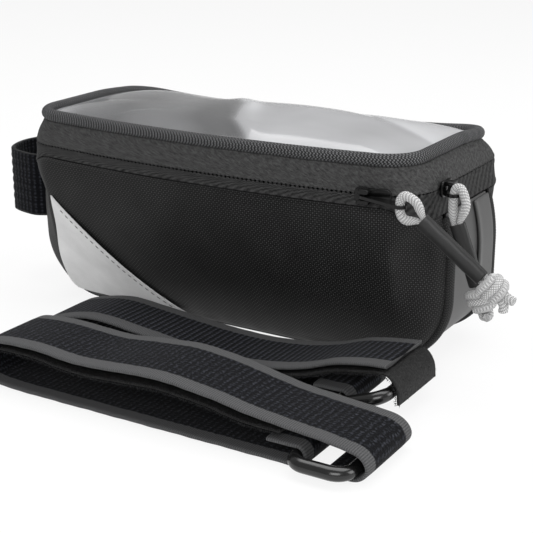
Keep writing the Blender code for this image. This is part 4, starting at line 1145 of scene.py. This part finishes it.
def make_slider(side, position, direction):
    origin, axes = slider_axes(position, direction)
    length = SLIDER_LENGTHS[side]
    outer = slab_points(waisted(length, SLIDER_HEIGHT, 0.16), SLIDER_CLEARANCE,
                        SLIDER_CLEARANCE + SLIDER_PLATE, SLIDER_EDGE)
    inner = slab_points(waisted(length * 0.9, SLIDER_HEIGHT * 0.9, 0.1), INNER_PLATE - SLIDER_PLATE,
                        INNER_PLATE, SLIDER_EDGE)
    post = slab_points(waisted(length * 0.4, 0.0007, 0.0), INNER_PLATE - 0.0003,
                       SLIDER_CLEARANCE + 0.0003, 0.0001)
    face = SLIDER_CLEARANCE + SLIDER_PLATE
    outer[..., 0] += length / 2 - SLIDER_TAIL
    grids = [outer, inner, post]
    for sign in (-1, 1):
        lug = waisted(LUG_LENGTH, LUG_HEIGHT, 0.0, 32) + (0, sign * LUG_HEIGHT)
        grids.append(slab_points(lug, face - 0.0003, face + PIN_STANDOFF + 2.2 * PIN_RADIUS, 0.0005))
    placed = [origin + np.einsum("rcj,jk->rck", grid, axes) for grid in grids]
    pin_middle = origin + axes[2] * (face + PIN_STANDOFF)
    pin_path = pin_middle + np.linspace(-PIN_HALF, PIN_HALF, 12)[:, None] * axes[1]
    radii = round_ends(PIN_RADIUS, pin_path, 0.0004)
    placed.append(sweep(pin_path, circle_profile(1.0, 16)[None] * radii[:, None, None], axes[0]))
    piece = join_grids(f"zip_slider_{side}_casting", placed)
    dress(piece, f"slider_{side}", "black_metal", black_metal, f"zip_slider_{side}")


FRONT_SLIDER_X = 0.0782
REAR_SLIDER_Y = -0.0225
sweep_angle = math.asin(FRONT_SLIDER_X / SIDE_RADIUS)
make_slider("front", (FRONT_SLIDER_X, SIDE_CENTRE - SIDE_RADIUS * math.cos(sweep_angle)),
            (math.cos(sweep_angle), math.sin(sweep_angle)))
make_slider("rear", (HALF_LENGTH, REAR_SLIDER_Y), (0, 1))
for side in ("front", "rear"):
    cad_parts[f"pull_tab_{side}"].data.materials.append(black_metal)

# %% [markdown]
# Each pull is a light braided cord, looped through the tab, with both legs in a rubber sleeve and then a
# wrapped knot. The points of each route are counted from its slider's pin. The braid is in the radius as
# well as in the material, since these cords are near the eye.

# %% Pulls
CORD_RADIUS = 0.0012
LOOP_SWELL = 0.0006
TAIL_SWELL = 0.0006
SLEEVE_WIDTH = 0.0068
SLEEVE_DEPTH = 0.0042
SLEEVE_WALL = 0.0005
CORD_STEP = 0.00032
KNOT_LENGTH = 0.0096
KNOT_END = 0.0014
KNOT_TURNS = 2.3
KNOT_WIDE, KNOT_DEEP, KNOT_RADIUS = 0.0043, 0.0034, 0.00180
KNOT_STEP = 0.0004
sleeve_rubber = make_plain("sleeve_rubber", 18, 42, 0.40, 2600.0, 0.00005, specular=0.45)
PULL_ROUTES = {
    "front": {
        "pin": (0.0787347, -0.0519472, 0.0792), "across": (0.6, 0.0, 0.75),
        "mouth": (0.0267, -0.0041, -0.0044), "end": (0.0503, 0.0, -0.0244),
        "loop": [(0.0245, -0.0047, 0.0023), (0.0201, -0.0049, 0.0044), (0.0180, -0.0047, 0.0023),
                 (0.0178, -0.0046, 0.0), (0.0180, -0.0047, -0.0027), (0.0203, -0.0048, -0.0050)],
        "tails": [(0.0633, 0.0019, -0.0322), (0.0588, 0.0014, -0.0372)]},
    "rear": {
        "pin": (0.1031, -0.0225, 0.0792), "across": (0.9, 0.0, 0.4),
        "mouth": (0.0069, -0.0095, -0.0112), "end": (0.0164, -0.0095, -0.0352),
        "loop": [(0.0099, -0.0093, -0.0034), (0.0079, -0.0089, 0.0023), (0.0055, -0.0086, 0.0028),
                 (0.0044, -0.0085, 0.0), (0.0042, -0.0087, -0.0027), (0.0046, -0.0091, -0.0067)],
        "tails": [(0.0218, -0.0130, -0.0465), (0.0190, -0.0075, -0.0478)]},
}


def sleeve_axes(route):
    """Origin at the sleeve's mouth, with axes across the two legs, front to back, and along the sleeve."""
    mouth, end = (np.array(route["pin"]) + route[key] for key in ("mouth", "end"))
    across = np.array(route["across"])
    along = unit(end - mouth)
    across = unit(across - along * (along @ across))
    return mouth, np.stack([across, np.cross(along, across), along]), float(np.linalg.norm(end - mouth))


def braided(path, radius, strands=5, pitch=0.0016, sides=20, depth=0.05):
    """A round cord whose radius carries the strands of its braid."""
    run = distances(path)
    radii = round_ends(radius, path, CORD_RADIUS * 0.6)
    height = 1 + depth * (np.abs(strand_lattice(run, sides, strands, pitch)) - 0.5)
    return circle_profile(1.0, sides)[None] * (radii[:, None] * height)[..., None]


def make_pull(side):
    route = PULL_ROUTES[side]
    mouth, axes, length = sleeve_axes(route)
    knot_start = length + 0.0006
    spread = CORD_RADIUS + 0.00015
    depths = (knot_start + KNOT_LENGTH + CORD_RADIUS, knot_start, length * 0.5, 0.003, -0.0006)
    leg_a = [mouth + axes[0] * spread + axes[2] * depth for depth in depths]
    leg_b = [mouth - axes[0] * spread + axes[2] * depth for depth in depths[::-1]]
    tails = np.array(route["pin"]) + np.array(route["tails"])
    loop = np.array(route["pin"]) + np.array(route["loop"])
    path = even_path(smooth_path([tails[0], *leg_a, *loop, *leg_b, tails[1]], 20), CORD_STEP)
    depth = (path - mouth) @ axes[2]
    swell = CORD_RADIUS + LOOP_SWELL * smooth_step(-depth, 0.0005, 0.0040)
    swell = swell + TAIL_SWELL * smooth_step(depth, knot_start + 0.5 * KNOT_LENGTH, knot_start + KNOT_LENGTH)
    cord = weld(grid_mesh(f"pull_cord_{side}_braid", sweep(path, braided(path, swell), (0, 1, 0)),
                          close_columns=True))
    dress(cord, f"pull_{side}", "cord", cord_braid, f"pull_cord_{side}")
    make_sleeve(side, mouth, axes, length)
    make_knot(side, mouth + axes[2] * knot_start, axes)
    return float(distances(path)[-1])


def make_sleeve(side, mouth, axes, length):
    """A tube with an oval section and rolled lips: out along the outer wall, back along the inner one."""
    lip = SLEEVE_WALL / 2
    steps = np.linspace(0, 1, 40)
    turn = np.linspace(-math.pi / 2, math.pi / 2, 7)
    outer_z = lip + steps * (length - 2 * lip)
    far_lip = length - lip + lip * np.cos(turn[::-1])
    near_lip = lip - lip * np.cos(turn)
    along = np.concatenate([outer_z, far_lip[1:-1], outer_z[::-1], near_lip[1:-1]])
    off = np.concatenate([np.zeros(40), -lip + lip * np.sin(turn[::-1])[1:-1], np.full(40, -SLEEVE_WALL),
                          -lip + lip * np.sin(turn)[1:-1]])
    dent = 0.00005 * np.sin(along * 2 * math.pi / 0.011)
    angle = full_turn(40)
    wide = (SLEEVE_WIDTH / 2 + off + dent)[:, None] * np.cos(angle)
    deep = (SLEEVE_DEPTH / 2 + off - dent)[:, None] * np.sin(angle)
    grid = mouth + wide[..., None] * axes[0] + deep[..., None] * axes[1] \
        + np.broadcast_to(along[:, None, None], (*wide.shape, 1)) * axes[2]
    piece = grid_mesh(f"pull_sleeve_{side}_rubber", grid[::-1], True, True)
    dress(piece, f"pull_{side}", "rubber_sleeve", sleeve_rubber, f"pull_sleeve_{side}")


def make_knot(side, start, axes):
    """Cord wound round both legs: a helix, then a strand that crosses over the turns."""
    angle = np.linspace(0.4, 0.4 + KNOT_TURNS * 2 * math.pi, 300)
    rise = KNOT_END + (KNOT_LENGTH - 2 * KNOT_END) * np.linspace(0, 1, 300)
    rise += 0.00035 * np.sin(angle * 2)
    helix = start + KNOT_WIDE * np.cos(angle)[:, None] * axes[0] \
        + KNOT_DEEP * np.sin(angle)[:, None] * axes[1] + rise[:, None] * axes[2]
    top, bottom = helix[-1], helix[0]
    over = start - axes[1] * (KNOT_DEEP + 0.0020) + axes[2] * KNOT_LENGTH * 0.5
    cross = smooth_path([top, top * 0.5 + over * 0.5 - axes[1] * 0.0012, over,
                         bottom * 0.5 + over * 0.5 - axes[1] * 0.0012, bottom], 16)
    grids = []
    for line, radius, reference in ((helix, KNOT_RADIUS, axes[2]), (cross, KNOT_RADIUS * 0.95, axes[0])):
        path = even_path(line, KNOT_STEP)
        grids.append(sweep(path, braided(path, radius, sides=16), reference))
    piece = join_grids(f"pull_knot_{side}_cord", grids)
    dress(piece, f"pull_{side}", "cord", cord_braid, f"pull_knot_{side}")


for side in PULL_ROUTES:
    print(side, "pull cord length", round(make_pull(side), 4))

# %% [markdown]
# The straps are hook-and-loop webbing: a band of loop pile with a plain grey selvedge on each side. Their
# section is carried along a side view path. The finish reads how far across the strap a point is, so the
# border between pile and selvedge runs true round every bend.

# %% Strap finishes
SELVEDGE = 0.0058
RIB_PITCH, WARP_PITCH, THREAD_PITCH = 0.0027, 0.0017, 0.0009


def make_strap_cloth(name, half_width, ribbed, selvedge=(60, 94), loop=76):
    """Pile in the middle and selvedges outside, split by the distance from the strap's centre line."""
    material, tree, shader = start_finish(name, 0.85, sheen=0.04, specular=0.1)
    across, along, where = cloth_map(tree)
    ragged = calc(tree, "MULTIPLY_ADD", noise(tree, where, 500.0, 2.0), 0.0012, -0.0006)
    reach = calc(tree, "ADD", calc(tree, "ABSOLUTE", across), ragged)
    edge = ramp(tree, reach, half_width - SELVEDGE - 0.0003, half_width - SELVEDGE + 0.0003)
    loops = noise(tree, where, 850.0, 3.0, 0.65)
    rib = calc(tree, "MULTIPLY_ADD", sine_wave(tree, along, RIB_PITCH), 0.5, 0.5)
    fine = calc(tree, "MULTIPLY_ADD", sine_wave(tree, across, WARP_PITCH), 0.5, 0.5)
    woven = calc(tree, "MULTIPLY", rib, calc(tree, "MULTIPLY_ADD", fine, 0.5, 0.5))
    pile = mixed(tree, loops, 1.0 - 0.35 * ribbed, woven, 0.45 * ribbed)
    threads = calc(tree, "MULTIPLY_ADD", noise(tree, where, 2200.0, 2.0), 0.5,
                   calc(tree, "MULTIPLY", sine_wave(tree, along, THREAD_PITCH), 0.12))
    pile_colour = blend_colour(tree, ramp(tree, pile, 0.50, 0.90), grey(5, 0.6), grey(loop, 0.2))
    edge_colour = blend_colour(tree, ramp(tree, threads, 0.1, 0.45), grey(selvedge[0], 0.02),
                               grey(selvedge[1], 0.02))
    colour = blend_colour(tree, edge, pile_colour, edge_colour)
    flat = calc(tree, "MULTIPLY", threads, 0.25)
    keep = calc(tree, "SUBTRACT", 1.0, edge)
    height = mixed(tree, pile, keep, flat, edge)
    colour_and_bump(tree, shader, colour, height, 0.0005, 0.9)
    return material


(front_low, front_high), (rear_low, rear_high) = (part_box(f"strap_{side}_band") for side in ("front", "rear"))
FRONT_WIDTH, REAR_WIDTH = front_high.y - front_low.y, rear_high.y - rear_low.y
front_y, rear_y = (front_high.y + front_low.y) / 2, (rear_high.y + rear_low.y) / 2
front_strap_cloth = make_strap_cloth("front_strap_cloth", FRONT_WIDTH / 2, 0.4)
rear_strap_cloth = make_strap_cloth("rear_strap_cloth", REAR_WIDTH / 2, 1.0)

# %% [markdown]
# A strap's route is a short list of given places, joined by a smooth curve. It turns round the
# ring's bar as a half circle, and that part is worked out from the bar's own size.

# %% Strap routes
STRAP_THICKNESS = 0.0018
HOOK_THICKNESS = 0.0014
BAR_RADIUS = 0.0024
AIR = 0.0003
RING_SPAN = 0.0222
RING_CORNER = 0.0060
WRAP = BAR_RADIUS + AIR + STRAP_THICKNESS / 2
STRAP_FLOOR = STRAP_THICKNESS / 2 + AIR
BAR_Z = STRAP_FLOOR + WRAP
FRONT_BAR_X = 0.0930
REAR_BAR_X = 0.0840
REAR_TILT = math.radians(20)
HOOK_DROP = STRAP_THICKNESS / 2 + HOOK_THICKNESS / 2 + 0.0010
HOOK_SAG = 0.0024
HOOK_WIDTH = 0.034
STRAP_STEP = 0.0008

front_top = [(-0.028, 0.0202), (-0.005, 0.0190), (0.015, 0.0205), (0.033, 0.0215), (0.054, 0.0195),
             (0.075, 0.0160), (0.093, 0.0142), (0.106, 0.0131)]
rear_top = [(-0.051, 0.0124), (-0.036, 0.0146), (-0.014, 0.0128), (0.011, 0.0104), (0.032, 0.0096),
            (0.052, 0.0112), (0.068, 0.0146), (0.081, 0.0190), (0.093, 0.0212), (0.1030, 0.0222)]


def start_at_bar(bar_x):
    """The sewn tail above the bar and the half turn round it."""
    tail = [(bar_x - 0.012, BAR_Z + WRAP), (bar_x - 0.006, BAR_Z + WRAP)]
    return tail + arc((bar_x, BAR_Z), WRAP, math.pi / 2, -math.pi / 2, 9).tolist()


def front_route():
    lower = [(0.075, STRAP_FLOOR), (0.040, STRAP_FLOOR), (0.005, STRAP_FLOOR), (-0.025, STRAP_FLOOR),
             (-0.043, STRAP_FLOOR + 0.0004)]
    bend = [(-0.0520, 0.0036), (-0.0565, 0.0095), (-0.0540, 0.0160), (-0.0460, 0.0192)]
    fold = [(0.1170, 0.0112), (0.1208, 0.0065), (0.1180, 0.0022), (0.1120, STRAP_FLOOR),
            (0.1040, STRAP_FLOOR)]
    return smooth_path(start_at_bar(FRONT_BAR_X) + lower + bend + front_top + fold, 14)


def rear_route():
    lower = [(0.070, STRAP_FLOOR), (0.035, STRAP_FLOOR), (0.0, STRAP_FLOOR), (-0.035, STRAP_FLOOR),
             (-0.052, STRAP_FLOOR)]
    bend = [(-0.0620, 0.0020), (-0.0660, 0.0050), (-0.0630, 0.0086)]
    return smooth_path(start_at_bar(REAR_BAR_X) + lower + bend + rear_top, 14)


def strap_profile(width, thickness, count=36):
    """Down one face, round the edge, up the other face and round again, with slightly fuller edges."""
    half, edge = width / 2, thickness / 2
    across = np.linspace(-(half - edge), half - edge, count)
    swell = 1 - 0.18 * np.clip((np.abs(across) - (half - SELVEDGE)) / SELVEDGE, 0, 1)
    turn = np.linspace(-math.pi / 2, math.pi / 2, 6)[1:-1]
    top = np.stack([edge * swell, across], -1)
    right = np.stack([-edge * np.sin(turn) * 0.8, half - edge + edge * np.cos(turn)], -1)
    bottom = np.stack([-edge * swell, -across], -1)
    left = np.stack([edge * np.sin(turn) * 0.8, -(half - edge) - edge * np.cos(turn)], -1)
    return np.concatenate([top, right, bottom, left], 0)


def make_strap(name, route, width, middle_y, thickness, material, slot, node, wave=0.0):
    """A strap along a side view route. Its width wanders a little, and its ends are closed."""
    line = even_path(route, STRAP_STEP)
    print(name, "flat length", round((len(line) - 1) * STRAP_STEP, 3), "width", round(width, 4))
    path = np.stack([line[:, 0], np.full(len(line), middle_y), line[:, 1]], -1)
    profile = strap_profile(width, thickness)
    run = np.arange(len(path)) * STRAP_STEP
    path = np.concatenate([path[:1], path, path[-1:]])
    run = np.concatenate([run[:1], run, run[-1:]])
    closing = np.concatenate([[0.0], np.ones(len(path) - 2), [0.0]])
    wander = 1 + 0.006 * np.sin(run * 310) + 0.004 * np.sin(run * 730 + 1)
    section = profile[None] * np.stack([closing, closing * wander], -1)[:, None]
    grid = sweep_flat(path, section)
    if wave:
        grid[..., 2] += wave * np.sin(grid[..., 0] * 55) * (grid[..., 1] - middle_y) / (width / 2) \
            * np.clip((grid[..., 2] - 0.006) / 0.006, 0, 1)
    wrapped = np.concatenate([profile, profile[:1]], 0)
    u = np.broadcast_to(wrapped[None, :, 1], (len(path), len(wrapped)))
    v = np.broadcast_to(run[:, None], u.shape)
    piece = weld(grid_mesh(name, grid, close_columns=True, uv=(u, v)))
    dress(piece, "bag", slot, material, node)


def sweep_flat(path, section):
    """Carry a section along a route in the x and z plane, with its width along y."""
    along = path[2:-1] - path[1:-2]
    along = unit(np.concatenate([along[:1], along[:1], along, along[-1:]])[:len(path)])
    along = unit(along + np.roll(along, 1, 0) * (np.arange(len(path)) > 1)[:, None])
    rise = np.stack([-along[:, 2], 0 * along[:, 0], along[:, 0]], -1)
    side = np.array([0.0, -1.0, 0.0])
    return path[:, None] + rise[:, None] * section[..., :1] + side * section[..., 1:]


for side, route, width, middle_y, cloth, wave in (
        ("front", front_route(), FRONT_WIDTH, front_y, front_strap_cloth, 0.0004),
        ("rear", rear_route(), REAR_WIDTH, rear_y, rear_strap_cloth, 0.0003)):
    make_strap(f"strap_{side}_band_webbing", route, width, middle_y, STRAP_THICKNESS, cloth,
               "loop_strap", f"strap_{side}_band", wave)

hook_front = [(-0.044, 0.0192)] + front_top[:5] + [(0.070, 0.0160), (0.086, 0.0146)]
hook_rear = rear_top[2:]
hook_front = smooth_path([(x, z - HOOK_DROP - HOOK_SAG * math.sin(math.pi * k / (len(hook_front) - 1)))
                          for k, (x, z) in enumerate(hook_front)], 14)
hook_rear = smooth_path([(x, z - HOOK_DROP) for x, z in hook_rear] + [(0.1078, 0.0150), (0.1088, 0.0085)], 14)
for side, route, middle_y in (("front", hook_front, front_y), ("rear", hook_rear, rear_y)):
    make_strap(f"strap_{side}_hook_webbing", route, HOOK_WIDTH, middle_y, HOOK_THICKNESS,
               hook_cloth, "hook_tape", f"strap_{side}_hook_tape")
print("straps done, widths", round(FRONT_WIDTH, 4), round(REAR_WIDTH, 4))

# %% [markdown]
# Hooks stand out along the tapes' edges and cut ends as a dark fuzz. Each is one small bent hair of three
# sides. All of them are placed at once from seeded random numbers, so every run gives the same fuzz.


# %% Hook fuzz
HAIR_COUNT = 3800
HAIR_LENGTH = 0.0009
HAIR_RADIUS = 0.00011


def hook_fuzz(name, roots, outward, seed):
    """Bent hairs: each follows root + outward * t + sideways * t squared, tapering to a point."""
    rng = np.random.default_rng(seed)
    count = len(roots)
    outward = unit(outward + rng.normal(0, 0.45, (count, 3)))
    aside = unit(rng.normal(0, 1, (count, 3)))
    length = HAIR_LENGTH * rng.uniform(0.5, 1.1, count)
    t = np.linspace(0, 1, 4)
    centre = roots[:, None] + outward[:, None] * (t[:, None] * length[:, None, None]) \
        + aside[:, None] * (t[:, None] ** 2 * length[:, None, None] * 0.5)
    first = unit(np.cross(outward, aside))
    second = np.cross(outward, first)
    angle = full_turn(3)
    radius = HAIR_RADIUS * (1 - 0.6 * t)
    ring = first[:, None, None] * np.cos(angle)[None, None, :, None] \
        + second[:, None, None] * np.sin(angle)[None, None, :, None]
    points = centre[:, :, None] + ring * radius[None, :, None, None]
    r, c = np.arange(3)[:, None], np.arange(3)[None]
    quad = np.stack([r * 3 + c, r * 3 + (c + 1) % 3, (r + 1) * 3 + (c + 1) % 3, (r + 1) * 3 + c], -1)
    start = np.arange(count)[:, None, None] * 12
    faces = (quad.reshape(1, -1, 4) + start).reshape(-1, 4).tolist()
    caps = np.array([[0, 2, 1], [9, 10, 11]])[None] + start
    piece = add_mesh(name, points, faces + caps.reshape(-1, 3).tolist())
    return dress(piece, "bag", "hook_tape", hook_hair)


def fuzz_along(name, route, middle_y, seed, count=HAIR_COUNT):
    """Hairs all over the near edge and both faces of a hook tape."""
    rng = np.random.default_rng(seed)
    line = even_path(route, STRAP_STEP)
    tangent = unit(np.gradient(line, axis=0))
    pick = rng.integers(0, len(line), count)
    rise = np.stack([-tangent[pick, 1], 0 * pick, tangent[pick, 0]], -1)
    face = np.where(rng.random(count) < 0.5, 1.0, -1.0)[:, None]
    edge = rng.random(count) < 0.55
    y = np.where(edge, middle_y - HOOK_WIDTH / 2, middle_y + (rng.random(count) - 0.5) * HOOK_WIDTH)
    roots = np.stack([line[pick, 0], y, line[pick, 1]], -1) + rise * face * HOOK_THICKNESS * 0.4
    out = np.where(edge[:, None], np.array([0.0, -1.0, 0.0]) + rise * face * 0.6, rise * face)
    return hook_fuzz(name, roots, out, seed + 1)


hook_hair = make_thread("hook_hair", 40, 0.05)
fuzz_along("strap_front_hooks", hook_front, front_y, 11)
fuzz_along("strap_rear_hooks", hook_rear, rear_y, 23)
print("hook fuzz done")


# %% [markdown]
# The rings are moulded plastic with a full, slightly flattened bar. Their plan is a rectangle with round
# corners, and the rear one leans up on its strap.


# %% Rings
def ring_path(length, span, corner):
    x, y = span / 2 - corner, length / 2 - corner
    quarter = math.pi / 2
    spots = [((x, -y), -quarter), ((x, y), 0), ((-x, y), quarter), ((-x, -y), 2 * quarter)]
    return np.vstack([arc(centre, corner, start, start + quarter, 12) for centre, start in spots])


def make_ring(node, length, centre, tilt):
    flat = even_path(ring_path(length - 2 * BAR_RADIUS, RING_SPAN, RING_CORNER), STRAP_STEP, closed=True)
    path = np.stack([flat[:, 0] * math.cos(tilt), flat[:, 1], flat[:, 0] * math.sin(tilt)], -1) + centre
    up = (-math.sin(tilt), 0, math.cos(tilt))
    ends = np.clip((np.abs(flat[:, 1]) - length * 0.34) / (length * 0.12), 0, 1)
    profile = circle_profile(BAR_RADIUS, 24)[None] * (1.06 + 0.16 * ends * (2 - ends))[:, None, None] \
        * np.array([1.0, 0.92])
    ring = grid_mesh(node + "_moulding", sweep(path, profile, up, True), True, True)
    dress(ring, "bag", "black_plastic", ring_plastic, node)


ring_plastic = make_plain("black_ring_plastic", 8, 26, 0.22, 1200.0, 0.00002, specular=0.6)
half_span = RING_SPAN / 2
for side, length, bar_x, middle_y, tilt in (("front", 0.050, FRONT_BAR_X, front_y, 0.0),
                                            ("rear", 0.0465, REAR_BAR_X, rear_y, REAR_TILT)):
    centre = (bar_x + half_span * math.cos(tilt), middle_y, BAR_Z + half_span * math.sin(tilt))
    make_ring(f"strap_{side}_ring", length, centre, tilt)

# %% [markdown]
# The stem strap stands on edge at the stem end as an open loop. It is ribbed webbing, so besides its
# ribbed finish its surface really waves along its length.


# %% Stem strap
STEM_THICKNESS = 0.0020
STEM_HALF = 0.0220
STEM_PILE_HALF = 0.0205
STEM_RIB, STEM_RIB_PITCH = 0.00018, 0.0042


def make_stem_strap():
    low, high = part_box("stem_strap")
    root_x = -(float(end_x(BULGE_HEIGHT)) + AIR + STEM_THICKNESS / 2)
    half, tip = STEM_HALF, low.x + STEM_THICKNESS / 2
    points = [(root_x, -0.008), (root_x - 0.0004, -0.0155), (root_x - 0.0050, -half + 0.0015),
              (root_x - 0.0120, -half), (tip + 0.0060, -half * 0.75), (tip, 0.0)]
    points += [(x, -y) for x, y in reversed(points[:-1])]
    line = even_path(smooth_path(points, 20), 0.0005)
    hug = np.clip(1 - (root_x - line[:, 0]) / 0.010, 0, 1)
    z = np.linspace(low.z, high.z, 46)
    back = end_x(BULGE_HEIGHT) - end_x(z)
    x = line[None, :, 0] + hug[None] * back[:, None]
    grid = np.stack([x, np.broadcast_to(line[None, :, 1], x.shape),
                     np.broadcast_to(z[:, None], x.shape)], -1)
    u = run_lengths(grid, 1)
    v = run_lengths(grid, 0)
    rib = STEM_RIB * np.sin(v * 2 * math.pi / STEM_RIB_PITCH) * np.clip((0.0125 - np.abs(v)) / 0.001, 0, 1)
    grid = grid + normals_of(grid) * rib[..., None]
    band = grid_mesh("stem_strap_webbing", grid, uv=(v, u))
    dress(thicken(band, STEM_THICKNESS, 0.0), "bag", "loop_strap",
          make_strap_cloth("stem_strap_cloth", STEM_PILE_HALF, 1.0, (30, 52), 48), "stem_strap")


make_stem_strap()

# %% [markdown]
# The studio is plain: a white floor that only keeps a soft shadow, a white world for the background, and
# three large soft lamps. The floor's own light is seen only by the camera and in gloss, so it whitens the
# picture without lighting the bag.


# %% Floor, world and lamps
def make_floor():
    bpy.ops.mesh.primitive_grid_add(x_subdivisions=2, y_subdivisions=2, size=6.0, location=(0, 0, 0))
    floor = bpy.context.object
    floor.name = "studio_floor"
    material = bpy.data.materials.new("white_floor")
    material.use_nodes = True
    tree = material.node_tree
    shader = tree.nodes["Principled BSDF"]
    shader.inputs["Base Color"].default_value = (0.9, 0.9, 0.9, 1.0)
    shader.inputs["Roughness"].default_value = 0.9
    white = tree.nodes.new("ShaderNodeEmission")
    white.inputs["Strength"].default_value = 1.0
    rays = tree.nodes.new("ShaderNodeLightPath")
    mix = tree.nodes.new("ShaderNodeMixShader")
    seen = calc(tree, "MAXIMUM", rays.outputs["Is Camera Ray"], rays.outputs["Is Glossy Ray"])
    tree.links.new(calc(tree, "MULTIPLY", seen, 0.86), mix.inputs[0])
    tree.links.new(shader.outputs[0], mix.inputs[1])
    tree.links.new(white.outputs[0], mix.inputs[2])
    tree.links.new(mix.outputs[0], tree.nodes["Material Output"].inputs[0])
    floor.data.materials.append(material)
    floor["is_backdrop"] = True


def make_world():
    world = bpy.data.worlds.new("studio_world")
    bpy.context.scene.world = world
    world.use_nodes = True
    tree = world.node_tree
    soft = tree.nodes["Background"]
    soft.inputs["Color"].default_value = (1.0, 1.0, 1.0, 1.0)
    soft.inputs["Strength"].default_value = 0.40
    white = tree.nodes.new("ShaderNodeBackground")
    white.inputs["Strength"].default_value = 1.0
    rays = tree.nodes.new("ShaderNodeLightPath")
    mix = tree.nodes.new("ShaderNodeMixShader")
    seen = calc(tree, "MAXIMUM", rays.outputs["Is Camera Ray"], rays.outputs["Is Transmission Ray"])
    tree.links.new(seen, mix.inputs[0])
    tree.links.new(soft.outputs[0], mix.inputs[1])
    tree.links.new(white.outputs[0], mix.inputs[2])
    tree.links.new(mix.outputs[0], tree.nodes["World Output"].inputs[0])


def add_lamp(name, place, aim, size, power):
    data = bpy.data.lights.new(name, "AREA")
    data.shape = "RECTANGLE"
    data.size, data.size_y = size
    data.energy = power
    lamp = bpy.data.objects.new(name, data)
    lamp.location = place
    lamp.rotation_euler = (Vector(aim) - Vector(place)).to_track_quat("-Z", "Y").to_euler()
    bpy.context.scene.collection.objects.link(lamp)


make_floor()
make_world()
add_lamp("overhead_lamp", (0.0, 0.15, 0.95), (0.0, 0.0, 0.05), (1.1, 0.8), 8.5)
add_lamp("front_lamp", (0.35, -0.95, 0.55), (0.0, 0.0, 0.04), (0.7, 0.5), 5.0)
add_lamp("rear_side_lamp", (0.95, 0.10, 0.45), (0.05, 0.0, 0.05), (0.5, 0.6), 3.6)
bpy.context.scene.view_settings.view_transform = "Standard"

# %% [markdown]
# Last, the finished model's box is printed.

# %% Sizes and finish
low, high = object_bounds()
print("visual box", [round(v, 4) for v in (*low, *high)])
